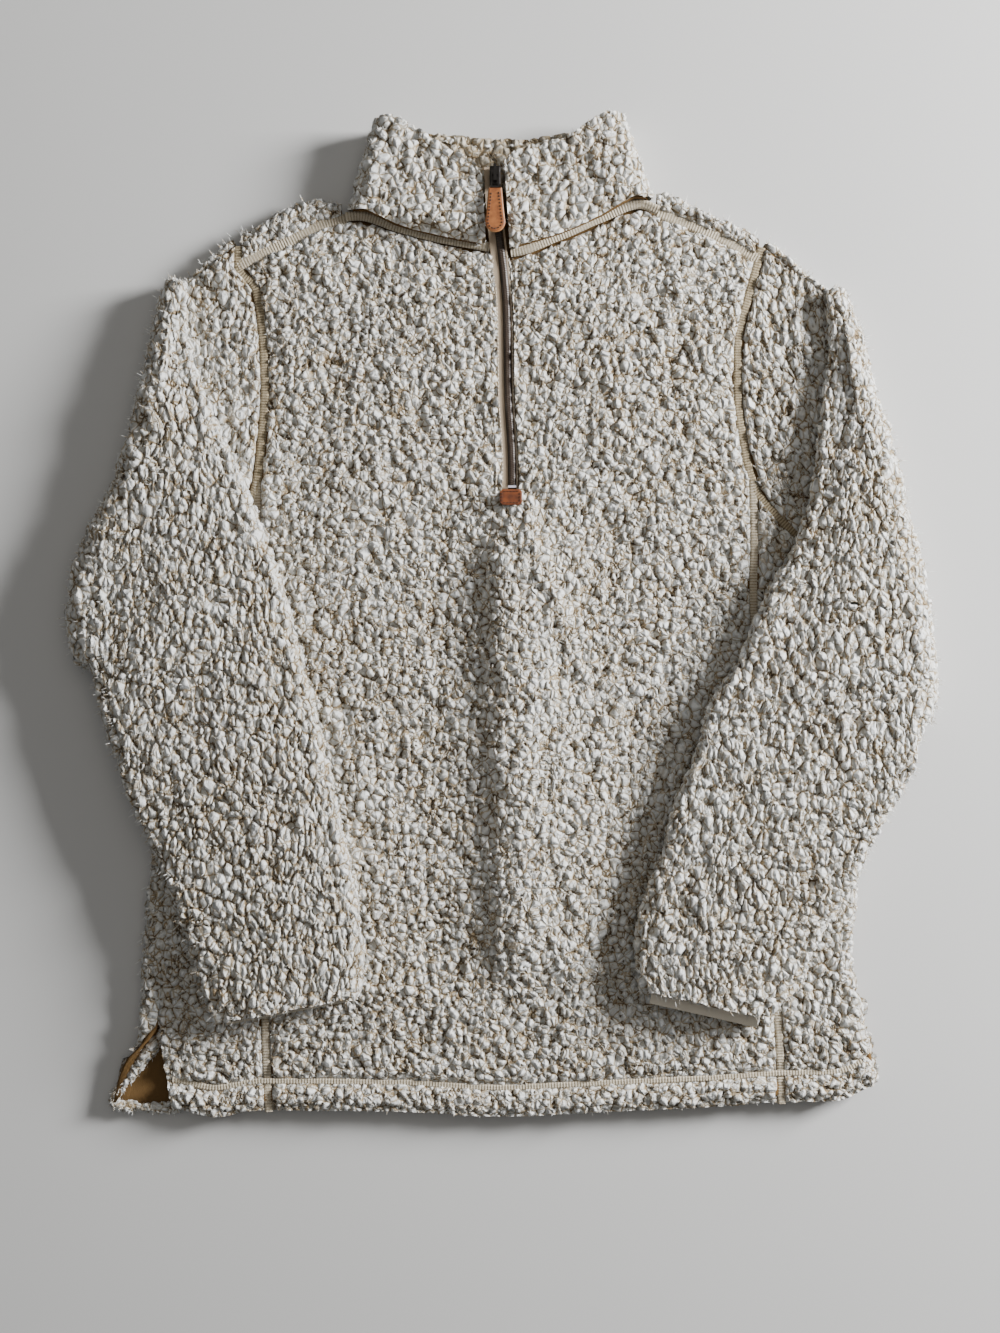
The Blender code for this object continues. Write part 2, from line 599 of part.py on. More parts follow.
def build_collar(mat):
    """The collar's two layers of fleece, seamed along the zip and the top edge."""
    up = np.array([0, 0.06, 0.14, 0.4, 0.7, 0.92, 1.0])
    points, ways = collar_middle(np.linspace(0, 1, 6), np.linspace(0, 1, 7), up)
    levels = {"collar_inner": (COLLAR_INSIDE, COLLAR_INSIDE + COLLAR_WALL),
              "collar_outer": (COLLAR_REACH - COLLAR_WALL, COLLAR_REACH)}
    rounding = 2.5 * smooth_step(up, 0.86, 1.0)[:, None, None]
    for name, (near, far) in levels.items():
        low, high = (rounding, 0) if name == "collar_inner" else (0, rounding)
        put_wall(name, points + ways * (near + low), points + ways * (far - high), mat)


# Zip

def put_strip(name, left, right, low, high, start, stop, count, mat):
    """A flat strip along the zip's line, between two offsets from it, lying on the zip's height."""
    y = np.linspace(start, stop, count)
    x = monotone(ZIP_LINE, y)
    z = monotone(ZIP_HEIGHT, y)
    inside = np.stack([np.stack([x + side, y, z + low], -1) for side in (left, right)], 1)
    outside = np.stack([np.stack([x + side, y, z + high], -1) for side in (left, right)], 1)
    return put_wall(name, inside, outside, mat)


def build_chain(mat):
    """The closed coil chain: a low rounded bar."""
    y = np.linspace(97, 322, 16)
    x = monotone(ZIP_LINE, y)
    z = monotone(ZIP_HEIGHT, y)
    half = CHAIN_WIDTH / 2
    profile = ((-half, 0.0), (-half * 0.9, CHAIN_DEPTH * 0.6), (-half * 0.45, CHAIN_DEPTH),
               (half * 0.45, CHAIN_DEPTH), (half * 0.9, CHAIN_DEPTH * 0.6), (half, 0.0))
    outside = np.stack([np.stack([x + a, y, z + b], -1) for a, b in profile], 1)
    inside = np.stack([np.stack([x + a, y, z - 0.6], -1) for a, b in profile], 1)
    return put_wall("zip_chain", inside, outside, mat)


def build_slider(mat):
    """The slider: a wedge-shaped body on the chain with a low bridge that the pull's link hangs in."""
    x, y, z = HINGE
    plate = put_box("zip_slider", (8.4, 15.0, 5.0), (x, y - 1, z - 4.4), mat, bevel=1.0)
    for name, size, centre in (("post_low", (2.4, 1.8, 4.6), (x, y - 5.2, z - 0.2)),
                               ("post_high", (2.4, 1.8, 4.6), (x, y + 5.2, z - 0.2)),
                               ("bridge", (2.4, 12.2, 1.4), (x, y, z + 2.4))):
        piece = put_box(name, size, centre, mat)
        piece.hide_render = True
        piece.display_type = "WIRE"
        join = plate.modifiers.new(name, "BOOLEAN")
        join.operation = "UNION"
        join.solver = "EXACT"
        join.object = piece
    return plate


def put_flat(name, outline, low, high, origin, mat, bevel=0.0):
    """A flat piece from a plan outline, about its own origin."""
    count = len(outline)
    points = [(x, y, low) for x, y in outline] + [(x, y, high) for x, y in outline]
    faces = [tuple(range(count))[::-1], tuple(range(count, 2 * count))]
    faces += [(k, (k + 1) % count, count + (k + 1) % count, count + k) for k in range(count)]
    obj = put_mesh(name, points, faces, mat, smooth_angle=35)
    obj.location = [value * MM for value in origin]
    if bevel:
        edge = obj.modifiers.new("rounding", "BEVEL")
        edge.width = bevel * MM
        edge.segments = 2
        edge.limit_method = "ANGLE"
        edge.angle_limit = math.radians(50)
    return obj


def build_link(mat):
    """The metal link: a bar through the slider's bridge, two arms, and a bar that grips the leather."""
    inner, outer, thick = 2.2, 3.4, 1.3
    frame = [(outer, 0.7), (-outer, 0.7), (-outer, -11.0), (outer, -11.0)]
    hole = [(inner, -0.7), (-inner, -0.7), (-inner, -9.6), (inner, -9.6)]
    points = [(x, y, z) for z in (-thick / 2, thick / 2) for ring in (frame, hole) for x, y in ring]
    faces = []
    for k in range(4):
        n = (k + 1) % 4
        faces += [(k, n, 4 + n, 4 + k), (8 + k, 12 + k, 12 + n, 8 + n), (k, 8 + k, 8 + n, n),
                  (4 + k, 4 + n, 12 + n, 12 + k)]
    link = put_mesh("zip_link", points, faces, mat, smooth_angle=35)
    link.location = [value * MM for value in HINGE]
    return link


def build_pull(mat):
    """The leather pull: a teardrop, narrow at the link and round at its end."""
    half = PULL_WIDTH / 2
    neck = 4.6
    top = -11.4
    bottom = top - PULL_LENGTH
    centre = bottom + half
    arc = [(half * math.cos(a), centre + half * math.sin(a)) for a in np.linspace(0.25, -math.pi - 0.25, 15)]
    outline = [(neck, top), *arc, (-neck, top)]
    return put_flat("zip_pull", outline[::-1], -PULL_THICK / 2, PULL_THICK / 2, HINGE, mat, bevel=0.6)


def build_patch(mat):
    """The leather patch over the zip's lower end, its corners cut off."""
    width, height, thick = PATCH_SIZE
    cut = 2.2
    x = float(monotone(ZIP_LINE, SLIT_END)) - 1.0
    outline = []
    for sx, sy in ((1, 1), (-1, 1), (-1, -1), (1, -1)):
        corner = [(sx * width / 2, sy * (height / 2 - cut)), (sx * (width / 2 - cut), sy * height / 2)]
        outline += corner if sx * sy > 0 else corner[::-1]
    top = float(front_levels(np.array([x]), np.array([SLIT_END - 6]))[1][0])
    return put_flat("zip_patch", outline, 0.0, thick, (x, SLIT_END, top + 1.6), mat, bevel=0.4)


def centre_garment():
    """Hangs every piece on one empty that brings the middle of the laid garment to the origin."""
    garment = bpy.data.objects.new("garment", None)
    bpy.context.collection.objects.link(garment)
    garment.location = (-CENTRE[0] * MM, -CENTRE[1] * MM, 0)
    for obj in bpy.data.objects:
        if obj is not garment:
            obj.parent = garment


def clear_scene():
    """Empties the scene."""
    for obj in list(bpy.data.objects):
        bpy.data.objects.remove(obj, do_unlink=True)


def main():
    clear_scene()
    fleece = material("sherpa_fleece", (0.62, 0.57, 0.48), 0.95)
    collar = material("sherpa_collar", (0.65, 0.6, 0.5), 0.95)
    binding = material("cuff_binding", (0.6, 0.5, 0.38), 0.85)
    tape = material("zip_tape", (0.42, 0.33, 0.22), 0.85)
    chain = material("zip_coil", (0.06, 0.04, 0.025), 0.45)
    metal = material("slider_metal", (0.03, 0.028, 0.026), 0.4, 0.8)
    leather = material("leather", (0.16, 0.05, 0.015), 0.55)
    thread = material("bar_tack", (0.5, 0.45, 0.5), 0.8)

    build_back(fleece)
    build_front(fleece)
    build_side("side_left", -1, fleece)
    build_side("side_right", 1, fleece)
    for name, spec in SLEEVES.items():
        build_sleeve("sleeve_" + name, spec, fleece)
    build_binding("cuff_binding_left", SLEEVES["left"], 3.0, binding)
    build_binding("cuff_binding_right", SLEEVES["right"], 9.0, binding)
    build_collar(collar)
    put_strip("zip_tape_left", SLIT_LEFT + 0.3, -CHAIN_WIDTH / 2 - 0.3, -0.6, TAPE - 0.6, 92, 338, 12, tape)
    put_strip("zip_tape_right", CHAIN_WIDTH / 2 + 0.3, SLIT_RIGHT - 0.3, -0.6, TAPE - 0.6, 92, 338, 12, tape)
    build_chain(chain)
    put_strip("zip_stop", -3.2, 3.2, 3.0, 4.2, 95.0, 96.6, 2, thread)
    build_slider(metal)
    build_link(metal)
    build_pull(leather)
    build_patch(leather)
    centre_garment()


main()
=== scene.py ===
import math
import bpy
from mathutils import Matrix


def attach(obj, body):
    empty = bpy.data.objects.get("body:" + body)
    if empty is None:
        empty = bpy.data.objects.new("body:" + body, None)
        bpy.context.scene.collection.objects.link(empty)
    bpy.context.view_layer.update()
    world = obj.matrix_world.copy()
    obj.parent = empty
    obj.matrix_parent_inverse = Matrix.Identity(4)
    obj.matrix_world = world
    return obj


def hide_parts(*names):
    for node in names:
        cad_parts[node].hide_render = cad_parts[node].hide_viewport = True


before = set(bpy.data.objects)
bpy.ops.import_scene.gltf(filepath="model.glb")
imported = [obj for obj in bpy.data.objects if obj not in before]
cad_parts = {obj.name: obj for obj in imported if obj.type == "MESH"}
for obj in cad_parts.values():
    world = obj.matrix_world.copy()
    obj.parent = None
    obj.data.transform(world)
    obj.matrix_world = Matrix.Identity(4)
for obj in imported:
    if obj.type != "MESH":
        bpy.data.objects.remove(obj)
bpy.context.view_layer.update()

from types import SimpleNamespace

import bpy
import numpy as np

mm = 0.001
random = np.random.default_rng(41)

# The garment's own sizes in millimetres. Every layer of cloth is a wall of knit ground and curly pile on a
# middle surface: the ground starts at inside, the curls end at reach.
garment = {
    "shift": (1.1, 1.0),        # brings the tables' middle to the frame's origin
    "inside": 1.0,
    "reach": 9.0,
    "seamGap": 0.8,
    "armholeGap": 1.6,
    "curl": 5.6,                # height of the curly pile
    "hemTurn": 22.0,            # stitching of the turned-up hem above its edge
    "seamClear": 1.7,           # bare ground on each side of a seam
    "seamFade": 9.0,            # distance from a seam at which the pile has its full height
    "ventTop": -313.0,          # y where the open vent ends
}
hemShape = {                    # falls in height by the distance above the hem, each with its place and width
    "edge": (2.5, 7.0),
    "groove": (3.0, 4.0),
    "puff": (-1.8, 11.0, 6.0),
}
reach = garment["reach"]
inside = garment["inside"]

hem = ((-300, -376), (-251, -376), (-218, -382), (-181, -377), (-80, -378), (-3, -382), (44, -380),
       (105, -377), (151, -375), (213, -371), (251, -370), (276, -360), (290, -350))
rightEdge = ((45, 266), (-100, 270), (-194, 272), (-236, 268), (-271, 266), (-298, 273),
             (-328, 279), (-362, 286))
leftSeam = ((50, -247), (-4, -247), (-36, -249.5), (-60, -250), (-198, -255), (-251, -257), (-298, -259),
            (-313, -260), (-376, -251))
princess = {
    "left": ((100, -188), (60, -188), (0, -186), (-200, -181), (-311, -180), (-380, -177)),
    "right": ((100, 191), (60, 192), (22, 191), (-200, 203), (-286, 207), (-336, 210), (-380, 211)),
}
armhole = {
    "left": ((-203, 281), (-203, 266), (-190, 250), (-184, 211), (-182, 176), (-184, 141), (-187, 105),
             (-196, 80), (-222, 62), (-254, 0)),
    "right": ((198, 280), (196, 271), (190, 250), (181, 211), (178, 188), (180, 164), (186, 118),
              (198, 84), (224, 62), (265, 0)),
}
frontTop = ((-203, 266), (-166, 284), (-130, 300), (-111, 303), (-80, 294), (-49, 286), (-7, 278), (4, 275),
            (44, 288), (74, 301), (105, 312), (121, 306), (159, 291), (196, 271))
shoulderTop = ((-206, 290), (-191, 297), (-157, 316), (-143, 319), (-126, 315), (118, 325), (124, 324),
               (151, 312), (182, 297), (204, 284))
backNeck = ((-124, 303), (-104, 305), (-80, 304), (0, 301), (80, 307), (100, 313), (118, 313))
neck = (-124.0, 118.0)
# y, where the back leaves the flat on its left, degrees turned up, straight length past the turn
backWrap = ((-2, -240, 0, 3), (-14, -250, 60, 3), (-34, -254, 180, 4), (-60, -255, 180, 4),
            (-182, -259, 180, 3),
            (-236, -264, 180, 6), (-298, -267, 180, 7), (-312, -268, 176, 7), (-328, -270, 110, 9),
            (-346, -278, 45, 9), (-380, -288, 14, 9))
zipLine = ((90, 7), (111, 7), (134, 6), (164, 4), (226, 3), (257, 1), (288, -3), (300, -4.2), (330, -6),
           (342, -6.5))
zipHeight = ((90, 13.6), (250, 14.2), (276, 18), (300, 24), (342, 26))
slit = {"left": -8.5, "right": 4.8, "end": 87.0, "hem": -381.0, "length": 658.0}

# Folds of the front: crest x and y at both ends, width to the left and right, height, fade at the ends
folds = ((2, 30, 6, -236, 15, 46, 12.5, 36),
         (-44, 30, -52, -250, 26, 16, -2.0, 60),
         (15, 72, 48, -10, 9, 12, 3.0, 26),
         (34, 92, 66, 30, 8, 10, 2.2, 24),
         (-96, -292, -50, -296, 14, 14, 2.6, 22),
         (70, -130, 52, -296, 14, 16, 2.0, 40),
         (-70, 190, -120, 60, 24, 30, 1.4, 60),
         (70, 220, 118, 90, 26, 26, 1.4, 60))

sleeves = {
    "left": {
        "side": -1,
        "crease": ((-258, 252), (-262, 241), (-272, 195), (-280, 161), (-291, 118), (-303, 87), (-317, 60),
                   (-328, 30), (-332, -1), (-330, -20), (-325, -38)),
        "overarm": ((-238, 252), (-236, 222), (-229, 184), (-212, 141), (-194, 99), (-180, 64), (-164, 18),
                    (-154, -20), (-140, -74), (-128, -121), (-118, -167), (-108, -213), (-103, -259),
                    (-109, -292)),
        "underarm": ((-314, -53), (-306, -70), (-295, -101), (-281, -144), (-265, -174), (-255, -198),
                     (-238, -244), (-225, -290), (-216, -311)),
    },
    "right": {
        "side": 1,
        "crease": ((262, 246), (269, 232), (275, 211), (282, 176), (298, 126), (309, 72), (321, 26),
                   (328, -20), (330, -50), (328, -78)),
        "overarm": ((243, 248), (245, 222), (244, 195), (241, 172), (235, 130), (230, 87), (217, 49),
                    (195, 10), (178, -32), (155, -67), (144, -105), (128, -144), (117, -182), (105, -213),
                    (97, -251), (103, -287)),
        "underarm": ((319, -97), (314, -112), (298, -140), (276, -178), (263, -209), (248, -228), (228, -267),
                     (217, -286), (199, -309)),
    },
}
# Fold of a sleeve: radius, how much thinner it is at its shoulder end and over what share across, the upper
# side's crown, how far it settles at the cuff, the underarm point's shift, and the shares along the folded part
# over which the crease's bend, its join, its thinning and the crown change.
sleeveFold = {"radius": 11.0, "thin": 0.36, "thinAcross": 0.16, "crown": 4.0, "settle": 1.5,
              "shift": (10.0, 2.0), "bendEnd": 0.55, "joinEnd": 0.12, "thinEnd": 0.4, "crownFull": 0.25}
armholeShares = np.array([0, 0.051, 0.121, 0.254, 0.373, 0.491, 0.614, 0.704, 0.812, 1])

collar = {
    "left": {"base": ((-13, 280), (-49, 287), (-80, 295), (-104, 305)),
             "top": ((-16, 332), (-22, 340), (-37, 349), (-57, 361), (-72, 371), (-84, 376))},
    "right": {"base": ((5, 277), (44, 289), (74, 302), (100, 315)),
              "top": ((1, 341), (6, 347), (20, 353), (51, 362), (68, 374), (78, 380))},
    "back": {"base": ((-104, 309), (-80, 306), (0, 303), (80, 309), (100, 317)),
             "top": ((-84, 374), (-66, 370), (-41, 367), (-10, 364), (13, 364), (36, 366), (60, 371),
                     (78, 377))},
}
# Collar: walls, how far its base dips at the zip, over what share of its height and of its wings, and how far
# the knit stays short of its top and its sides
collarWall = {"inside": 2.0, "layer": 6.8, "between": 0.6, "dip": 7.0, "dipHeight": 0.16,
              "dipAcross": (0.08, 0.35), "tuckTop": 6.5, "tuckSides": 5.0}
collarReach = collarWall["inside"] + 2 * collarWall["layer"] + collarWall["between"]


# Curves

# Cubic through a two-column table whose slopes are the harmonic means of its steps, so it never overshoots.
def monotone(table, at):
    x, y = (np.array(column, float) for column in zip(*sorted(table)))
    at = np.clip(np.asarray(at, float), x[0], x[-1])
    step = np.diff(x)
    slope = np.diff(y) / step
    tangent = np.zeros_like(y)
    tangent[0], tangent[-1] = slope[0], slope[-1]
    same = slope[1:] * slope[:-1] > 0
    weightA = 2 * step[1:] + step[:-1]
    weightB = step[1:] + 2 * step[:-1]
    with np.errstate(divide="ignore", invalid="ignore"):
        mean = (weightA + weightB) / (weightA / slope[:-1] + weightB / slope[1:])
    tangent[1:-1] = np.where(same, mean, 0.0)
    k = np.clip(np.searchsorted(x, at, side="right") - 1, 0, len(step) - 1)
    t = (at - x[k]) / step[k]
    return ((2 * t**3 - 3 * t**2 + 1) * y[k] + (t**3 - 2 * t**2 + t) * step[k] * tangent[k]
            + (3 * t**2 - 2 * t**3) * y[k + 1] + (t**3 - t**2) * step[k] * tangent[k + 1])


# Length run along a polyline up to each of its points.
def runOf(points):
    return np.concatenate(([0.0], np.cumsum(np.linalg.norm(np.diff(points, axis=0), axis=1))))


# Points of a smooth curve through the given ones, at fractions of its length.
def along(points, fractions):
    points = np.array(points, float)
    chord = runOf(points)
    fine = np.linspace(0, chord[-1], 400)
    curve = np.stack([monotone(list(zip(chord, points[:, k])), fine) for k in range(points.shape[1])], axis=1)
    length = runOf(curve)
    wanted = np.asarray(fractions, float) * length[-1]
    return np.stack([np.interp(wanted, length, curve[:, k]) for k in range(points.shape[1])], axis=-1)


# Vectors over their lengths.
def unit(vectors):
    return vectors / np.maximum(np.linalg.norm(vectors, axis=-1, keepdims=True), 1e-9)


# A plane curve moved sideways by a distance, to the left of its direction.
def beside(points, fractions, distance):
    fine = along(points, np.linspace(0, 1, 200))
    tangent = unit(np.gradient(fine, axis=0))
    fine += distance * np.stack([-tangent[:, 1], tangent[:, 0]], axis=1)
    return along(fine, fractions)


# 0 below low, 1 above high, 3t^2 - 2t^3 between them.
def smoothStep(value, low, high):
    t = np.clip((np.asarray(value, float) - low) / (high - low), 0, 1)
    return t * t * (3 - 2 * t)


# Height of the front's folds: each crest is a Gaussian across, with its own width on each side, and its ends
# fade by another.
def relief(x, y):
    total = np.zeros(np.broadcast(x, y).shape)
    for x0, y0, x1, y1, left, right, height, fade in folds:
        length = math.hypot(x1 - x0, y1 - y0)
        run = ((x1 - x0) / length, (y1 - y0) / length)
        forward = (x - x0) * run[0] + (y - y0) * run[1]
        across = (y - y0) * run[0] - (x - x0) * run[1]
        width = np.where(across * (1 if run[1] < 0 or abs(run[1]) < 0.3 else -1) < 0, left, right)
        over = np.maximum(np.maximum(-forward, forward - length), 0)
        total += height * np.exp(-(across / width)**2 - (over / fade)**2)
    return total


# Distance in plan from points to the nearest of some polylines.
def planDistance(points, lines):
    nearest = np.full(len(points), 1e9)
    for line in lines:
        for a, b in zip(line[:-1], line[1:]):
            run = b - a
            t = np.clip(((points - a) @ run) / max(run @ run, 1e-9), 0, 1)
            nearest = np.minimum(nearest, np.linalg.norm(points - a - t[:, None] * run, axis=1))
    return nearest


# True for points inside a closed outline: the crossings of a ray to the right are odd.
def within(points, outline):
    odd = np.zeros(len(points), bool)
    for a, b in zip(outline, np.roll(outline, -1, axis=0)):
        crosses = (a[1] > points[:, 1]) != (b[1] > points[:, 1])
        with np.errstate(divide="ignore", invalid="ignore"):
            x = a[0] + (points[:, 1] - a[1]) * (b[0] - a[0]) / (b[1] - a[1])
        odd ^= crosses & (points[:, 0] < x)
    return odd


# Surfaces

# A surface is a dictionary of grids: base points, outward directions, and how far along them the ground starts
# and the curls end. active marks its cells, and ring closes its rows.
def surface(base, way, low, high, active=None, ring=False, **more):
    shape = base.shape[:2]
    low = np.broadcast_to(np.asarray(low, float), shape)
    high = np.broadcast_to(np.asarray(high, float), shape)
    return dict(base=base, way=way, low=low, high=high, active=active, ring=ring, **more)


# Plan of an armhole's seam.
def armholeLine(side):
    return along(armhole[side], armholeShares)


# x of an armhole's seam at a height y.
def armholeX(side, y):
    line = armholeLine(side)[::-1]
    return np.interp(y, line[:, 1], line[:, 0])


# y of the lower part of an armhole's seam at x.
def armholeY(side, x):
    line = armholeLine(side)
    line = line[line[:, 1] < 112]
    order = np.argsort(line[:, 0])
    return np.interp(x, line[order, 0], line[order, 1])


# x of the front's side edge: the armhole above y = 100 and the princess seam below.
def frontEdge(side, y):
    return np.where(y > 100, armholeX(side, y), monotone(princess[side], y))


# Plan of a panel: columns between two side curves, rows from the hem to its top curve. The rows start from a
# guess and settle in six rounds, because the side curves need y and the hem needs x.
def panel(left, right, top, across, up):
    across, up = np.meshgrid(across, up)
    y = -380 + up * 600.0
    x = across
    for _ in range(6):
        xLeft = left(y)
        x = xLeft + across * (right(y) - xLeft)
        low = monotone(hem, x)
        y = low + up * (top(x) - low)
    return x, y


# A panel of the body's upper layer: flat at the middle height, raised by the folds.
def upperPanel(x, y, **more):
    rise = relief(x, y)
    above = y - monotone(hem, x)
    (edge, edgeWidth), (groove, grooveWidth), (puff, puffAt, puffWidth) = hemShape.values()
    fall = edge * (1 - smoothStep(above, 0, edgeWidth))
    fall = fall + groove * np.exp(-((above - garment["hemTurn"]) / grooveWidth)**2)
    fall = fall + puff * np.exp(-((above - puffAt) / puffWidth)**2)
    base = np.stack([x, y, np.full_like(x, reach)], -1)
    way = np.zeros_like(base)
    way[..., 2] = 1
    return surface(base, way, inside + 0.6 * rise, reach + rise - fall, **more)


# x of the zip's line at y.
def zipX(y):
    return monotone(zipLine, y)


# The front: two panels side by side, joined below the end of the zip's slit.
def frontSurface(columns, rows):
    gap = garment["seamGap"]
    slitRow = (slit["end"] - slit["hem"]) / slit["length"]
    up = np.sort(np.unique(np.concatenate([np.linspace(0, 1, rows), [slitRow]])))
    share = np.linspace(0, 1, columns)
    left = panel(lambda y: frontEdge("left", y) + gap, lambda y: zipX(y) + slit["left"],
                 lambda x: monotone(frontTop, x) - gap, share, up)
    right = panel(lambda y: zipX(y) + slit["right"], lambda y: frontEdge("right", y) - gap,
                  lambda x: monotone(frontTop, x) - gap, share, up)
    x = np.concatenate([left[0], right[0]], axis=1)
    y = np.concatenate([left[1], right[1]], axis=1)
    active = np.ones((len(up) - 1, x.shape[1] - 1), bool)
    active[np.searchsorted(up, slitRow):, columns - 1] = False
    return upperPanel(x, y, active=active)


# A side panel. The right one goes on round the body's edge by a quarter turn.
def sideSurface(side, columns, rows):
    gap = garment["seamGap"]
    up = np.linspace(0, 1, rows)
    share = np.linspace(0, 1, columns)
    top = lambda x: armholeY(side, x) - garment["armholeGap"]
    if side == "left":
        return upperPanel(*panel(lambda y: monotone(leftSeam, y) + gap,
                                 lambda y: frontEdge("left", y) - gap, top, share, up))
    flat = upperPanel(*panel(lambda y: frontEdge("right", y) + gap,
                             lambda y: monotone(rightEdge, y) - reach, top, share, up))
    turns = np.radians(np.linspace(0, 88, 7))[1:]
    grids = {key: [flat[key]] for key in ("base", "way", "low", "high")}
    for turn in turns:
        way = np.zeros((rows, 1, 3))
        way[..., 0], way[..., 2] = math.sin(turn), math.cos(turn)
        grids["way"].append(way)
        for key in ("base", "low", "high"):
            grids[key].append(flat[key][:, -1:])
    return surface(*(np.concatenate(grids[key], axis=1) for key in ("base", "way", "low", "high")))


# The back: width of its turned edges, degrees of the right one, steps round both, the shares across its flat
# part where the neck ends, which get columns of their own, and y of its first and last flat rows.
backShape = {"edge": 12.0, "rimTurn": 86.0, "lipSteps": 9, "rimSteps": 6, "neckShares": (0.175, 0.823),
             "foot": -378.0, "head": 278.0}


# One row across the back: from the left seam round the left edge, along the ground, up the right edge.
def backRow(y, flat):
    edge, rimTurn, lipSteps, rimSteps = list(backShape.values())[:4]
    if y > -2:
        left = float(armholeX("left", y)) + garment["armholeGap"]
        right = float(armholeX("right", y)) - garment["armholeGap"]
        turnLeft = lip = turnRight = 0.0
    else:
        left, turnLeft, lip = (float(monotone([(row[0], row[k]) for row in backWrap], y)) for k in (1, 2, 3))
        right = float(monotone(rightEdge, y)) - reach
        turnRight = rimTurn * float(1 - smoothStep(y, -28, -6))
    start = left + edge * (1 - turnLeft / 180)
    stop = right - edge * (1 - turnRight / rimTurn)
    share = 1 - np.arange(1, lipSteps) / lipSteps
    angle = math.radians(turnLeft) * share
    spread = edge * (1 - turnLeft / 180) * share
    turn = math.radians(turnLeft)
    baseX = [np.array([left - lip * math.cos(turn)]), left + (edge * (1 - turnLeft / 180)) - spread,
             start + (stop - start) * flat, stop + (right - stop) * np.arange(1, rimSteps + 1) / rimSteps]
    baseZ = [np.array([reach + lip * math.sin(turn)]), np.full(lipSteps - 1, reach),
             np.full(len(flat), reach), np.full(rimSteps, reach)]
    rim = math.radians(turnRight) * np.arange(1, rimSteps + 1) / rimSteps
    wayX = [np.array([-math.sin(turn)]), -np.sin(angle), np.zeros(len(flat)), np.sin(rim)]
    wayZ = [np.array([-math.cos(turn)]), -np.cos(angle), -np.ones(len(flat)), -np.cos(rim)]
    return tuple(np.concatenate(part) for part in (baseX, baseZ, wayX, wayZ))


# The back: rows from the hem to the shoulders, half a turn over them, and two rows down to the front's seam,
# with the neck left open.
def backSurface(flatColumns, rows):
    flat = np.sort(np.concatenate([np.linspace(0, 1, flatColumns), backShape["neckShares"]]))
    foot, head = backShape["foot"], backShape["head"]
    base, way = [], []
    for share in np.linspace(0, 1, rows):
        yLine = foot + share * (head - foot)
        x, z, wayX, wayZ = backRow(yLine, flat)
        low = monotone(hem, x) + 2
        isNeck = (x > neck[0]) & (x < neck[1])
        top = np.where(isNeck, monotone(backNeck, x), monotone(shoulderTop, x) - reach)
        y = yLine + (low - foot) * (1 - smoothStep(share, 0, 0.3)) + (top - head) * smoothStep(share, 0.66, 1.0)
        base.append(np.stack([x, y, z], -1))
        way.append(np.stack([wayX, np.zeros_like(x), wayZ], -1))
    x, y = base[-1][:, 0], base[-1][:, 1]
    for turn in np.radians(np.linspace(0, 180, 9))[1:]:
        base.append(np.stack([x, y, np.full_like(x, reach)], -1))
        way.append(np.tile([0.0, math.sin(turn), -math.cos(turn)], (len(x), 1)))
    seam = np.minimum(monotone(frontTop, x) + garment["seamGap"], y - 1)
    for share in (0.5, 1.0):
        base.append(np.stack([x, y + (seam - y) * share, np.full_like(x, reach)], -1))
        way.append(np.tile([0.0, 0.0, 1.0], (len(x), 1)))
    base, way = np.array(base), np.array(way)
    active = np.ones((len(base) - 1, len(x) - 1), bool)
    middle = 0.5 * (x[1:] + x[:-1])
    active[rows - 1:, (middle > neck[0]) & (middle < neck[1])] = False
    return surface(base, way, inside, reach, active=active)


# Middle surface of a sleeve: flat rows from the armhole to the crease, half a turn, then flat rows on top.
# row tells how far each row has come: below 0 before the crease, 0 to 1 from the crease to the cuff.
def sleeveMiddle(spec, across, unfolded, turns, folded):
    side = spec["side"]
    line = armholeLine("left" if side < 0 else "right")
    line[:, 0] += side * garment["seamGap"]
    line[-1] += (side * sleeveFold["shift"][0], sleeveFold["shift"][1])
    start = np.stack([np.interp(across, armholeShares, line[:, k]) for k in range(2)], -1)
    share = sleeveFold["thin"] * np.exp(-(across / sleeveFold["thinAcross"])**2)
    radius = sleeveFold["radius"] * (1 - share)
    crease = along(spec["crease"], across)
    tangent = unit(np.gradient(crease, axis=0))
    outward = side * np.stack([-tangent[:, 1], tangent[:, 0]], axis=1)
    axis = crease - outward * (radius + reach * (1 - share))[:, None]
    base, way, thick, row = [], [], [], []
    for part in np.linspace(0, 1, unfolded):
        base.append(np.column_stack([start * (1 - part) + axis * part, np.full(len(across), reach)]))
        way.append(np.tile([0.0, 0.0, 1.0], (len(across), 1)))
        thick.append(1 - share * part)
        row.append(part - 2)
    for k in range(1, turns + 1):
        turn = math.pi * k / turns
        plan = axis + outward * (radius * math.sin(turn))[:, None]
        base.append(np.column_stack([plan, reach + radius * (1 - math.cos(turn))]))
        way.append(np.column_stack([-outward * math.sin(turn), np.full(len(across), math.cos(turn))]))
        thick.append(1 - share)
        row.append(k / turns - 1)
    over = beside(spec["overarm"], folded, side * reach)
    under = beside(spec["underarm"], folded, -side * reach)
    bend = axis - (axis[0] + (axis[-1] - axis[0]) * across[:, None])
    first = over[0] + (under[0] - over[0]) * across[:, None] + bend
    for part, a, b in zip(folded[1:], over[1:], under[1:]):
        plan = a + (b - a) * across[:, None] + bend * (1 - smoothStep(part, 0, sleeveFold["bendEnd"]))
        plan = plan + (axis - first) * (1 - smoothStep(part, 0, sleeveFold["joinEnd"]))
        lower = share * (1 - smoothStep(part, 0, sleeveFold["thinEnd"]))
        height = reach + 2 * sleeveFold["radius"] * (1 - lower) - sleeveFold["settle"] * part
        base.append(np.column_stack([plan, height]))
        way.append(np.tile([0.0, 0.0, -1.0], (len(across), 1)))
        thick.append(1 - lower)
        row.append(part)
    return np.array(base), np.array(way), np.array(thick), np.array(row)


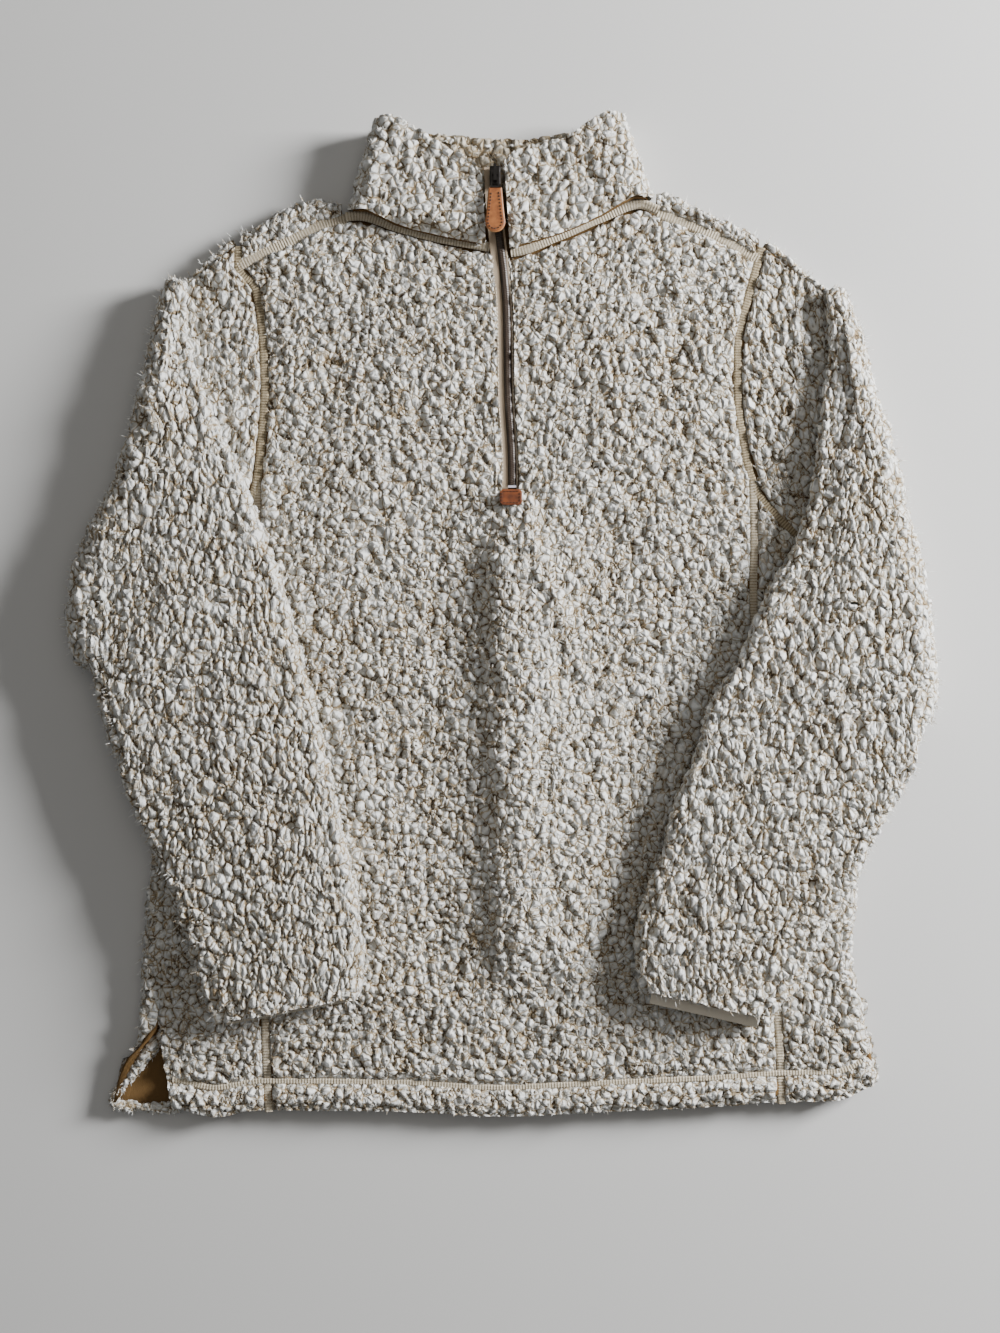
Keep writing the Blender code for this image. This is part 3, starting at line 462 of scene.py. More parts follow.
# The whole tube: the upper side, the rounded underarm edge, the lower side, the rounded overarm edge.
def sleeveSurface(side, columns, unfolded, turns, foldedRows, rimSteps):
    spec = sleeves[side]
    across = np.linspace(0, 1, columns)
    folded = np.concatenate([[0, 0.02], np.linspace(0.045, 1, foldedRows)])
    base, way, thick, row = sleeveMiddle(spec, across, unfolded, turns, folded)
    puff = np.sin(math.pi * across)[None, :]**0.7 * smoothStep(row, 0.0, sleeveFold["crownFull"])[:, None]
    crown = sleeveFold["crown"]
    rims = {}
    for column, sign in ((0, -1), (-1, 1)):
        run = unit(np.gradient(base[:, column], axis=0))
        out = unit(np.cross(run, way[:, column])) * spec["side"] * sign
        rims[column] = [math.cos(t) * way[:, column] + math.sin(t) * out
                        for t in np.linspace(0, math.pi, rimSteps + 2)[1:-1]]
    sides = range(columns)
    order = [*sides, *[columns - 1] * rimSteps, *reversed(sides), *[0] * rimSteps]
    face = np.repeat([0, 2, 1, 2], [columns, rimSteps, columns, rimSteps])
    ways = [way[:, k] for k in sides] + rims[-1] + [-way[:, k] for k in reversed(sides)] + rims[0][::-1]
    base, size, rise = base[:, order], thick[:, order], np.where(face == 1, puff[:, order], 0.0)
    row, face = (np.broadcast_to(values, size.shape) for values in (row[:, None], face))
    return surface(base, np.stack(ways, axis=1), inside * size + 0.4 * crown * rise,
                   reach * size + crown * rise, ring=True, row=row, face=face)


# Middle surface of the collar, from the zip round the neck and back to the zip; rows from seam to top edge.
def collarMiddle(across, backShare, up, foldSteps):
    points, ways = [], []

    def wing(side, shares):
        base = along(collar[side]["base"], shares)
        top = along(collar[side]["top"], shares)
        columns = []
        for k, share in enumerate(shares):
            plan = base[k] + (top[k] - base[k]) * up[:, None]
            near = smoothStep(1 - share, *collarWall["dipAcross"])
            dip = collarWall["dip"] * near * np.maximum(1 - up / collarWall["dipHeight"], 0)**2
            columns.append(np.column_stack([plan, collarReach - dip]))
        return columns

    def add(columns, way):
        points.extend(columns)
        ways.extend([np.tile(way, (len(up), 1))] * len(columns))

    def fold(sign, start, stop, turns):
        for turn in turns:
            column = start + (stop - start) * smoothStep(turn, 0, math.pi)
            add([column], [sign * math.sin(turn), 0.0, math.cos(turn)])

    backBase = along(collar["back"]["base"], backShare)
    backTop = along(collar["back"]["top"], backShare)
    back = [np.column_stack([a + (b - a) * up[:, None], np.full(len(up), collarReach)])
            for a, b in zip(backBase, backTop)]
    left, right = wing("left", across), wing("right", across[::-1])
    turns = np.linspace(0, math.pi, foldSteps + 2)[1:-1]
    add(left, [0.0, 0.0, 1.0])
    fold(-1, left[-1], back[0], turns)
    add(back, [0.0, 0.0, -1.0])
    fold(1, right[0], back[-1], turns[::-1])
    add(right, [0.0, 0.0, 1.0])
    return np.stack(points, axis=1), np.stack(ways, axis=1)


# A rounded free edge: part of a tube, sweep degrees of it, whose centre line runs one radius inside the edge.
# out is the direction away from the cloth.
def edgeSurface(base, way, out, low, high, steps=7, sweep=165.0):
    middle = base + way * (0.5 * (low + high))[:, None]
    radius = 0.5 * (high - low)
    centre = middle - out * radius[:, None]
    turns = np.radians(np.linspace(8, sweep, steps))
    ways = np.stack([math.cos(t) * way + math.sin(t) * out for t in turns], axis=1)
    bases = np.repeat(centre[:, None], steps, axis=1)
    return surface(bases, ways, 0.0, np.repeat(radius[:, None], steps, axis=1))


# Meshes

# A mesh object from points in millimetres and arrays of quads and triangles.
def putMesh(name, points, quads, tris=None, attributes=()):
    points = np.asarray(points, float).reshape(-1, 3).copy()
    points[:, 0] += garment["shift"][0]
    points[:, 1] += garment["shift"][1]
    mesh = bpy.data.meshes.new(name)
    mesh.vertices.add(len(points))
    mesh.vertices.foreach_set("co", (points * mm).astype(np.float32).ravel())
    quads = np.asarray(quads, np.int32).reshape(-1, 4)
    tris = np.zeros((0, 3), np.int32) if tris is None else np.asarray(tris, np.int32).reshape(-1, 3)
    mesh.loops.add(quads.size + tris.size)
    mesh.loops.foreach_set("vertex_index", np.concatenate([quads.ravel(), tris.ravel()]))
    mesh.polygons.add(len(quads) + len(tris))
    starts = np.concatenate([np.arange(len(quads)) * 4, quads.size + np.arange(len(tris)) * 3])
    mesh.polygons.foreach_set("loop_start", starts.astype(np.int32))
    mesh.polygons.foreach_set("use_smooth", np.ones(len(starts), bool))
    for key, values in attributes:
        attribute = mesh.attributes.new(key, "FLOAT", "POINT")
        attribute.data.foreach_set("value", np.asarray(values, np.float32).ravel())
    mesh.update(calc_edges=True)
    mesh.validate()
    obj = bpy.data.objects.new(name, mesh)
    bpy.context.collection.objects.link(obj)
    return obj


# Faces of a grid's cells, numbered row by row.
def gridFaces(rows, columns, active=None, ring=False):
    wide = columns if ring else columns - 1
    if active is None:
        active = np.ones((rows - 1, wide), bool)
    row, column = np.nonzero(active)
    right = (column + 1) % columns
    return np.stack([row * columns + column, row * columns + right,
                     (row + 1) * columns + right, (row + 1) * columns + column], axis=1)


# A closed shell between two grids: outer cells, inner cells the other way round, a rim along each open edge.
def shellFaces(rows, columns, active, ring):
    outer = gridFaces(rows, columns, active, ring)
    count = rows * columns
    edges = np.concatenate([np.stack([outer[:, k], outer[:, (k + 1) % 4]], 1) for k in range(4)])
    keys = edges[:, 0] * count + edges[:, 1]
    reverse = edges[:, 1] * count + edges[:, 0]
    free = edges[~np.isin(keys, reverse)]
    rim = np.stack([free[:, 1], free[:, 0], free[:, 0] + count, free[:, 1] + count], axis=1)
    return np.concatenate([outer, outer[:, ::-1] + count, rim])


# Turns a mesh's faces outwards, judged by the volume that they enclose.
def faceOut(points, faces):
    a, b, c, d = (points[faces[:, k]] for k in range(4))
    volume = np.einsum("ij,ij->i", np.cross(b - a, c - a), a + b + c).sum()
    volume += np.einsum("ij,ij->i", np.cross(c - a, d - a), a + c + d).sum()
    return faces if volume > 0 else faces[:, ::-1]


# A surface as a closed wall between two heights.
def putShell(name, grid, low, high):
    rows, columns = grid["base"].shape[:2]
    outer = grid["base"] + grid["way"] * high[..., None]
    inner = grid["base"] + grid["way"] * low[..., None]
    points = np.concatenate([outer.reshape(-1, 3), inner.reshape(-1, 3)])
    faces = shellFaces(rows, columns, grid["active"], grid["ring"])
    used, faces = np.unique(faces, return_inverse=True)
    faces = faces.reshape(-1, 4)
    points = points[used]
    return putMesh(name, points, faceOut(points, faces))


# Pile

# Values of a grid at fractional rows and columns, mixed from the four around each.
def resample(values, rows, columns):
    r = np.minimum(np.floor(rows).astype(int), values.shape[0] - 2)
    c = np.minimum(np.floor(columns).astype(int), values.shape[1] - 2)
    v, u = (rows - r)[:, None], (columns - c)[None, :]
    if values.ndim == 3:
        v, u = v[..., None], u[..., None]
    upper = values[r][:, c] * (1 - u) + values[r][:, c + 1] * u
    return upper * (1 - v) + (values[r + 1][:, c] * (1 - u) + values[r + 1][:, c + 1] * u) * v


# The same surface on a grid whose rows and columns lie one step apart.
def refine(grid, step):
    keys = ("base", "way", "low", "high", "row", "face")
    data = {key: np.array(grid[key], float) for key in keys if key in grid}
    if grid["ring"]:
        data = {key: np.concatenate([values, values[:, :1]], axis=1) for key, values in data.items()}
    outer = data["base"] + data["way"] * data["high"][..., None]
    places = []
    for axis in (0, 1):
        gap = np.linalg.norm(np.diff(outer, axis=axis), axis=2)
        run = np.concatenate(([0.0], np.cumsum(np.percentile(gap, 75, axis=1 - axis) + 1e-6)))
        count = max(int(run[-1] / step), 3)
        places.append(np.interp(np.linspace(0, run[-1], count), run, np.arange(len(run))))
    active = grid["active"]
    if active is None:
        active = np.ones((outer.shape[0] - 1, outer.shape[1] - 1), bool)
    cells = [np.minimum(np.floor(0.5 * (place[1:] + place[:-1])).astype(int), size - 1)
             for place, size in zip(places, active.shape)]
    fine = {key: resample(values, *places) for key, values in data.items()}
    fine["way"] = unit(fine["way"])
    fine["active"] = active[cells[0]][:, cells[1]]
    return fine


# The pile. Lengths are in millimetres; what is not a length is a share.
curls = {
    "size": 7.8,                # width of a curl
    "step": 1.62,               # width of the skin's cells
    "lean": 0.8,                # how far a curl's top hangs over, down the cloth
    "stretch": 1.08,            # length of a curl down the cloth over its width
    "stray": 0.86,              # how far a curl's seed strays in its cell of the lattice
    "waves": ((74.0, 3.2), (17.0, 1.15), (6.4, 0.32)),  # lengths and pushes of the waves that move curls
    "valley": 0.42,             # width of the valley round a curl
    "round": 2.3,               # power of its dome
    "height": 0.86,
    "uneven": 0.34,             # spread of the curls' heights
    "tip": 0.36,                # tilt of a curl
    "lock": 0.5,                # width of the small locks on a curl
    "lockValley": 0.5,
    "lockHeight": 0.09,
    "level": 0.9,               # share of a curl's height that lies on the surface
    "least": 0.6,               # ground kept under a curl
    "nearSeam": (0.35, 0.65),   # depth on a seam, and what is added away from it
    "sink": 2.8,                # how far the pile sinks on a seam
    "unevenness": (34.0, 0.7),  # length and height of the pile's slow waves
    "floor": 0.15,              # lowest point of the pile above the floor
    "underSize": 9.0,           # size and step where the cloth lies on the floor
    "underStep": 3.6,
}
cellTable = random.random((8192, 8))


# Eight random numbers for each cell of a lattice, always the same for the same cell: its three places, each
# times a prime, pick a row of the table.
def cellNumbers(cell):
    mixed = (cell[:, 0] * 73856093) ^ (cell[:, 1] * 19349663) ^ (cell[:, 2] * 83492791)
    return cellTable[mixed & (len(cellTable) - 1)]


# Curls as the cells round scattered seeds: the distances from each point to its own and to the next seed, the
# way from its seed, and its curl's numbers.
def curlCells(points, size):
    place = points / size
    corner = np.floor(place).astype(np.int64)
    first = np.full(len(points), 9.0)
    second = first.copy()
    offset = np.zeros((len(points), 3))
    own = np.zeros((len(points), 8))
    for step in np.ndindex(3, 3, 3):
        cell = corner + np.array(step) - 1
        numbers = cellNumbers(cell)
        away = place - cell - 0.5 - curls["stray"] * (numbers[:, :3] - 0.5)
        far = np.linalg.norm(away, axis=1)
        nearer = far < first
        second = np.where(nearer, first, np.minimum(second, far))
        first = np.where(nearer, far, first)
        offset[nearer] = away[nearer]
        own[nearer] = numbers[nearer]
    return first, second, offset * size, own


# Points pushed about by waves of three lengths, so that curls differ in size and have wandering outlines.
def wander(points):
    moved = points.copy()
    for wave, push in curls["waves"]:
        for k in range(3):
            turn = 2.1 * k + wave
            phase = points @ unit(np.array([math.cos(turn), math.sin(turn), 0.6 - 0.5 * k]))
            phase = phase * 2 * math.pi / wave + 1.9 * k
            moved[:, (k + 1) % 3] += push * np.sin(phase + 1.1 * np.sin(0.61 * phase + k))
    return moved


# Slow unevenness of the pile: a sum of waves in turned directions, about one high.
def swell(points, wave):
    total = np.zeros(len(points))
    for k, turn in enumerate((0.3, 1.2, 2.0, 2.9, 3.8, 5.1)):
        size = wave * (0.7 + 0.14 * k)
        run = points[:, 0] * math.cos(turn) + points[:, 1] * math.sin(turn) + 0.7 * points[:, 2]
        phase = run / size * 2 * math.pi
        total += np.sin(phase + 1.7 * k + 1.3 * np.sin(phase * 0.37 + k))
    return total / 3


# Heights of the pile: each cell is a plump cushion, tipped its own way, with smaller locks on it. Gives the
# height as a share of the curl, the curl's tone, how far its top hangs over, and the dome alone.
def curlHeights(points, size, stretch):
    moved = wander(points)
    moved[:, 1] -= (1 - 1 / stretch) * points[:, 1]
    first, second, offset, own = curlCells(moved, size)
    edge = np.clip((second - first) / curls["valley"], 0, 1)
    dome = np.sqrt(np.clip(1 - (1 - edge)**curls["round"], 0, 1))
    lockFirst, lockSecond, _, lockOwn = curlCells(moved + 31.0, size * curls["lock"])
    lock = np.clip((lockSecond - lockFirst) / curls["lockValley"], 0, 1)
    tip = np.sum(offset * unit(own[:, 3:6] - 0.5), axis=1) / size
    share = dome * (curls["height"] + curls["uneven"] * (own[:, 6] - 0.5) + curls["tip"] * tip)
    share = share + curls["lockHeight"] * (lock - 0.5) * (0.4 + dome)
    over = dome * (0.25 + 0.75 * own[:, 7])
    return share, 0.6 * own[:, 7] + 0.4 * lockOwn[:, 6], over, dome


# The pile of a piece: a fine skin over its surfaces, raised into curls. keep drops what can't be seen, scale
# shortens the pile near seams, size is the width of a curl and step that of the skin's cells. part picks the
# share of the cells that this object holds, when a piece is cut in two.
def growPile(name, grids, size=curls["size"], step=curls["step"], keep=None, scale=None, lean=curls["lean"],
             curl=garment["curl"], stretch=curls["stretch"], part=None):
    allPoints, allFaces, rise, tones, total = [], [], [], [], 0
    for grid in grids:
        fine = refine(grid, step)
        rows, columns = fine["base"].shape[:2]
        outer = fine["base"] + fine["way"] * fine["high"][..., None]
        nap = unit(np.gradient(outer, axis=0)).reshape(-1, 3)
        outside = outer.reshape(-1, 3)
        places = {"way": fine["way"].reshape(-1, 3)}
        for key in ("row", "face"):
            places[key] = fine[key].ravel() if key in fine else np.full(len(outside), 9.0)
        fits = np.ones(len(outside), bool) if keep is None else keep(outside, places)
        faces = gridFaces(rows, columns, fine["active"])
        whole = fits[faces].all(axis=1)
        cut = np.zeros(len(outside), bool)
        cut[faces[~whole]] = True
        faces = faces[whole]
        if part is not None:
            faces = faces[part(outside[faces[:, 0]])]
        shrink = np.ones(len(outside)) if scale is None else scale(outside, places)
        share, tone, over, dome = curlHeights(outside, size, stretch)
        seamDepth, awayDepth = curls["nearSeam"]
        wave, waveHeight = curls["unevenness"]
        deep = np.minimum(curl, (fine["high"] - fine["low"]).ravel() - curls["least"])
        deep = deep * (seamDepth + awayDepth * shrink)
        top = fine["high"].ravel() + waveHeight * shrink * swell(outside, wave) - (1 - shrink) * curls["sink"]
        height = np.where(cut, fine["low"].ravel() + 0.3, top + deep * (share - curls["level"]))
        points = fine["base"].reshape(-1, 3) + places["way"] * height[:, None]
        points = points + nap * (lean * over * shrink * ~cut)[:, None]
        points[:, 2] = np.maximum(points[:, 2], curls["floor"])
        used, faces = np.unique(faces, return_inverse=True)
        faces = faces.reshape(-1, 4)
        a, b, c = (points[used][faces[:, k]] for k in range(3))
        facing = np.sum(np.cross(b - a, c - a) * places["way"][used][faces[:, 0]], axis=1).sum()
        allFaces.append((faces if facing > 0 else faces[:, ::-1]) + total)
        allPoints.append(points[used])
        # The dome's height is kept as rise; the fleece colour darkens low on each curl by it, partly the tan of
        # the roots, partly painted shade in the valleys.
        rise.append(np.clip(dome, 0, 1)[used])
        tones.append(tone[used])
        total += len(used)
    faces = np.concatenate(allFaces)
    print("pile", name, 2 * len(faces), "triangles", flush=True)
    return putMesh(name, np.concatenate(allPoints), faces, None,
                   (("rise", np.concatenate(rise)), ("tone", np.concatenate(tones))))


# Materials

# A new material with what builds it: give links sockets and sets values on a node's inputs, node adds a node,
# ramp turns a value into a colour, bump dents the normal by a strength and a depth in metres, and look fills in
# the shader.
def materialKit(name):
    mat = bpy.data.materials.new(name)
    mat.use_nodes = True
    tree = mat.node_tree

    def give(made, inputs):
        for key, value in inputs.items():
            if isinstance(value, bpy.types.NodeSocket):
                tree.links.new(value, made.inputs[key])
            else:
                made.inputs[key].default_value = value
        return made

    def node(kind, inputs, **options):
        made = tree.nodes.new("ShaderNode" + kind)
        for key, value in options.items():
            setattr(made, key, value)
        return give(made, inputs)

    def ramp(value, stops):
        made = node("ValToRGB", {"Fac": value})
        elements = made.color_ramp.elements
        while len(elements) < len(stops):
            elements.new(0.5)
        for element, (place, colour) in zip(elements, stops):
            element.position = place
            element.color = (*colour, 1)
        return made.outputs["Color"]

    def bump(height, strength, depth, **below):
        inputs = {"Height": height, "Strength": strength, "Distance": depth, **below}
        return node("Bump", inputs).outputs["Normal"]

    def look(colour, normal, roughness, **others):
        values = {"Base Color": colour, "Roughness": roughness}
        values.update({key.replace("_", " "): value for key, value in others.items()})
        give(tree.nodes["Principled BSDF"], values if normal is None else {**values, "Normal": normal})
        return mat

    place = node("TexCoord", {}).outputs["Object"]
    return SimpleNamespace(node=node, ramp=ramp, bump=bump, look=look, place=place)


fleeceLook = {
    # deep and low are darker and more amber: partly the tan of the roots, partly painted shade in the creases
    # and cracks between the curls
    "deep": (0.070, 0.040, 0.016),
    "low": (0.38, 0.285, 0.165),
    "body": (0.70, 0.665, 0.585),
    "tip": (0.90, 0.915, 0.905),
    "fibre": 1150.0,            # scale of single fibres
    "locks": 158.0,             # scale of the locks between the cracks
    "stretch": (1.0, 0.92, 1.0),
    "drift": 0.0042,            # how far the cracks wander
    "fibreBump": 0.5,
    "lockBump": 0.95,
    "lockDepth": 0.0032,        # depths of both bumps in metres
    "fibreDepth": 0.0011,
    "lockRound": (-0.1, 0.42),  # distances from a crack between which a lock rises
    "crack": 0.15,              # distance from a crack at which a lock has its own colour
    "climb": ((0.18, "deep"), (0.38, "low"), (0.58, "body"), (0.89, "tip")),
    "start": -0.27,             # where the colour's climb starts, and how much each thing adds to it
    "rise": 0.40,
    "cracks": 0.38,
    "tone": 0.12,
    "stain": 0.16,
    "fibres": 0.34,
}
sleeveLook = {**fleeceLook, "stretch": (1.0, 0.66, 1.0), "locks": 168.0}
collarLook = {**fleeceLook, "stretch": (1.0, 1.0, 1.0), "locks": 138.0, "drift": 0.0028}


# Colour climbs from the dark creases to the pale tips by the height on the curl and the distance to the cracks
# between its small locks. This darkening is partly the tan of the roots and partly painted shade in the
# hollows. The colour is shifted by each curl's tone, a slow stain and single fibres.
def fleeceMaterial(name, look):
    kit = materialKit(name)
    node, place = kit.node, kit.place

    def noise(scale, detail, distortion=0.0):
        return node("TexNoise", {"Vector": place, "Scale": scale, "Detail": detail, "Distortion": distortion})

    def smooth(value, low, high):
        inputs = {"Value": value, "From Min": low, "From Max": high}
        return node("MapRange", inputs, interpolation_type="SMOOTHSTEP").outputs["Result"]

    fibre = noise(look["fibre"], 4.0, 1.4).outputs["Fac"]
    drift = noise(look["locks"] * 0.8, 2.0).outputs["Color"]
    push = {0: drift, 1: (look["drift"],) * 3, 2: place}
    pushed = node("VectorMath", push, operation="MULTIPLY_ADD").outputs[0]
    longer = node("VectorMath", {0: pushed, 1: look["stretch"]}, operation="MULTIPLY").outputs[0]
    locks = node("TexVoronoi", {"Vector": longer, "Scale": look["locks"]}, feature="DISTANCE_TO_EDGE")
    away = locks.outputs["Distance"]
    total = look["start"]
    # rise and the distance to the cracks darken the colour low on each curl and along its cracks: painted shade
    # over the tan of the roots
    for value, key in ((node("Attribute", {}, attribute_name="rise").outputs["Fac"], "rise"),
                       (smooth(away, 0.0, look["crack"]), "cracks"),
                       (node("Attribute", {}, attribute_name="tone").outputs["Fac"], "tone"),
                       (noise(9.0, 3.0).outputs["Fac"], "stain"), (fibre, "fibres")):
        total = node("Math", {0: value, 1: look[key], 2: total}, operation="MULTIPLY_ADD").outputs[0]
    colours = kit.ramp(total, [(place, look[key]) for place, key in look["climb"]])
    lockBump = kit.bump(smooth(away, *look["lockRound"]), look["lockBump"], look["lockDepth"])
    bump = kit.bump(fibre, look["fibreBump"], look["fibreDepth"], Normal=lockBump)
    return kit.look(colours, bump, 0.95, Specular_IOR_Level=0.12, Sheen_Weight=0.3, Sheen_Roughness=0.5,
                    Sheen_Tint=(1.0, 0.98, 0.94, 1))


# The knit ground between the curls: fine rows of loops, as a wave across the cloth broken by noise. Its dark
# amber is partly the knit's own tan and partly painted shade of the gaps between the curls.
def groundMaterial(name, colour, dark):
    kit = materialKit(name)
    loops = {"Vector": kit.place, "Scale": 420.0, "Distortion": 3.0, "Detail": 2.0}
    wave = kit.node("TexWave", loops).outputs["Fac"]
    return kit.look(kit.ramp(wave, ((0.1, dark), (0.9, colour))), kit.bump(wave, 0.5, 0.0006), 0.95,
                    Specular_IOR_Level=0.1)


fleece = fleeceMaterial("curlyFleece", fleeceLook)
sleeveFleece = fleeceMaterial("sleeveFleece", sleeveLook)
collarFleece = fleeceMaterial("collarFleece", collarLook)
# The inner layer's fleece is a darker, browner copy of the collar's: painted shade where the wings overhang the
# inside of the collar.
shadedInnerLook = {**collarLook, "body": (0.42, 0.355, 0.26), "tip": (0.60, 0.56, 0.47)}
shadedInnerFleece = fleeceMaterial("shadedInnerFleece", shadedInnerLook)
# dark amber ground: the knit's tan darkened as painted shade for the gaps between the curls
ground = groundMaterial("shadedKnitGround", (0.22, 0.132, 0.055), (0.10, 0.055, 0.02))


# Gives an object its material, its slot and its body.
def dress(obj, mat, body="pullover"):
    obj.data.materials.clear()
    obj.data.materials.append(mat)
    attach(obj, body)
    return obj


# A panel's knit ground: the shell under the curls.
def putGround(name, grid):
    high = np.maximum(grid["high"] - garment["curl"] + 0.6, grid["low"] + 0.8)
    return dress(putShell(name, grid, grid["low"], high), ground)


# Outline in plan of a sleeve's folded part, moved in by an inset, to tell what it hides.
def sleeveOutline(side, inset):
    spec = sleeves[side]
    sign = spec["side"]
    fractions = np.linspace(0, 1, 30)
    over = beside(spec["overarm"], fractions, sign * inset)
    under = beside(spec["underarm"], fractions, -sign * inset)
    crease = beside(spec["crease"], fractions, -sign * inset)
    return np.concatenate([crease, under, over[::-1]])


covers = {side: sleeveOutline(side, 16.0) for side in sleeves}


# True under either sleeve.
def underSleeve(points):
    return within(points[:, :2], covers["left"]) | within(points[:, :2], covers["right"])


# Plan of a seam from its table, between two heights.
def seamLine(table, top, bottom, count=60):
    y = np.linspace(top, bottom, count)
    return np.stack([monotone(table, y), y], 1)


topX = np.linspace(-203, 196, 90)
seams = {
    "armholeLeft": armholeLine("left"),
    "armholeRight": armholeLine("right"),
    "princessLeft": seamLine(princess["left"], 100, -378),
    "princessRight": seamLine(princess["right"], 100, -372),
    "sideLeft": seamLine(leftSeam, 40, garment["ventTop"], 40),
    "top": np.stack([topX, monotone(frontTop, topX)], 1),
}


# Share of the full pile height near seams: none on the seam, all of it at the fade's distance.
def seamScale(names):
    lines = [seams[name] for name in names]
    return lambda outside, places: smoothStep(planDistance(outside[:, :2], lines), 0.0, garment["seamFade"])


# True where pile may grow: farther from the seams than a distance that wavers along them. At the left side
# seam only the wavering part of the distance is kept clear.
def clearOfSeam(names):
    distance = garment["seamClear"]
    wide = [seams[name] for name in names if name != "sideLeft"]
    narrow = [seams[name] for name in names if name == "sideLeft"]

    def clear(outside):
        away = planDistance(outside[:, :2], wide)
        if narrow:
            away = np.minimum(away, planDistance(outside[:, :2], narrow) + distance)
        return away > distance + 0.8 * swell(outside, 12.0) * (away < distance + 2)

    return clear


# Edge of a grid as a rounded free edge: side is "row" or "column", index picks it, pick keeps a stretch of it
# and out points away from the cloth.
def gridEdge(grid, side, index, out=None, pick=slice(None), steps=7, sweep=165.0):
    turned = {key: grid[key] if side == "row" else np.swapaxes(grid[key], 0, 1)
              for key in ("base", "way", "low", "high")}
    base, way, low, high = (values[index][pick] for values in turned.values())
    if out is None:
        out = base - turned["base"][1 if index == 0 else -2][pick]
    out = np.broadcast_to(out, base.shape)
    out = unit(out - way * np.sum(out * way, axis=1, keepdims=True))
    return edgeSurface(base, way, out, low, high, steps, sweep)


# Front
slitColumn = 33
front = frontSurface(slitColumn + 1, 90)
frontSeams = ["armholeLeft", "armholeRight", "princessLeft", "princessRight", "top"]
frontKnit = putGround("frontKnit", front)
slitRows = front["base"][:, slitColumn, 1] > slit["end"]
frontEdges = [gridEdge(front, "row", 0, (0, -1, 0)),
              gridEdge(front, "column", slitColumn, (1, 0, 0), slitRows, 5, 110),
              gridEdge(front, "column", slitColumn + 1, (-1, 0, 0), slitRows, 5, 110)]


# Share of the pile's height at the hem's stitching: lowest on the line, with a Gaussian across it.
def hemScale(outside):
    above = outside[:, 1] - monotone(hem, outside[:, 0]) - garment["hemTurn"]
    return 1 - 0.75 * np.exp(-(above / 3.2)**2)


# What keeps and scales the pile of the body's upper layer: clear of the sleeves' cover, its seams and the
# hem's stitching.
def bodyRules(names):
    clear, near = clearOfSeam(names), seamScale(names)
    return {"keep": lambda outside, places: ~underSleeve(outside) & clear(outside),
            "scale": lambda outside, places: near(outside, places) * hemScale(outside)}


frontSplit = 3.0                # x where the front's pile is divided, along the zip
frontPiles = []
for side, sign in (("Left", -1), ("Right", 1)):
    half = lambda points: sign * (points[:, 0] - frontSplit) > 0
    pile = growPile("frontPile" + side, [front] + frontEdges, part=half, **bodyRules(frontSeams))
    frontPiles.append(dress(pile, fleece))
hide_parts("front")

# Side panels
for side in ("left", "right"):
    grid = sideSurface(side, 12, 60)
    names = frontSeams[:4] + ["sideLeft"] * (side == "left")
    knit = putGround("side" + side.title() + "Knit", grid)
    edges = [gridEdge(grid, "row", 0, (0, -1, 0))]
    if side == "left":
        openRows = grid["base"][:, 0, 1] < garment["ventTop"]
        edges.append(gridEdge(grid, "column", 0, (-1, 0, 0), openRows))
    pile = growPile("side" + side.title() + "Pile", [grid] + edges, **bodyRules(names))
    dress(pile, fleece)
    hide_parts("side_" + side)

# Back
back = backSurface(40, 90)
backKnit = putGround("backKnit", back)
backNames = ["armholeLeft", "armholeRight", "sideLeft", "top"]


# The part of the back that doesn't lie on the floor.
def onTop(places):
    return places["way"][:, 2] > -0.35


backClear = clearOfSeam(backNames)
keepTop = lambda outside, places: onTop(places) & ~underSleeve(outside) & backClear(outside)
keepUnder = lambda outside, places: ~onTop(places)
backTop = growPile("backTopPile", [back, gridEdge(back, "row", 0, (0, -1, 0), sweep=120)], keep=keepTop,
                   scale=seamScale(backNames))
backUnder = growPile("backUnderPile", [back], size=curls["underSize"], step=curls["underStep"], lean=0.0,
                     keep=keepUnder)
for pile in (backTop, backUnder):
    dress(pile, fleece)
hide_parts("back")
print("body done", flush=True)

# Sleeves
sleevePiles = []
for side in ("left", "right"):
    title = side.title()
    grid = sleeveSurface(side, 26, 12, 12, 80, 7)
    knit = putGround("sleeve" + title + "Knit", grid)
    cuff = gridEdge(grid, "row", -1, grid["base"][-1] - grid["base"][-2])
    cuff["row"] = np.full(cuff["low"].shape, 1.0)
    cuff["face"] = np.full(cuff["low"].shape, 2.0)
    inner = sleeveOutline(side, 13.0)
    seamClear, near = clearOfSeam(["armhole" + title]), seamScale(["armhole" + title])
    lower = lambda places: (places["row"] < -1) & (places["face"] > 0.5) & (places["face"] < 1.5)

    # face 0 looks up before the fold and down after it, face 1 the other way, and face 2 is the rounded edges
    def keepSleeve(outside, places):
        covered = ((places["row"] < -1) | (places["row"] >= 0)) & (places["face"] < 0.5)
        covered &= within(outside[:, :2], inner)
        return ~(covered | lower(places)) & ((places["row"] > -1.2) | seamClear(outside))

    def scaleSleeve(outside, places):
        return np.where(places["row"] < -1, near(outside, places), 1.0)

    pile = growPile("sleeve" + title + "Pile", [grid, cuff], keep=keepSleeve, scale=scaleSleeve, step=1.86,
                    lean=-1.5, stretch=1.32)
    sleevePiles.append(dress(pile, sleeveFleece))
    under = growPile("sleeve" + title + "UnderPile", [grid], size=curls["underSize"], step=curls["underStep"],
                     lean=0.0, keep=lambda outside, places: lower(places))
    dress(under, fleece)
    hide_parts("sleeve_" + side)
print("sleeves done", flush=True)

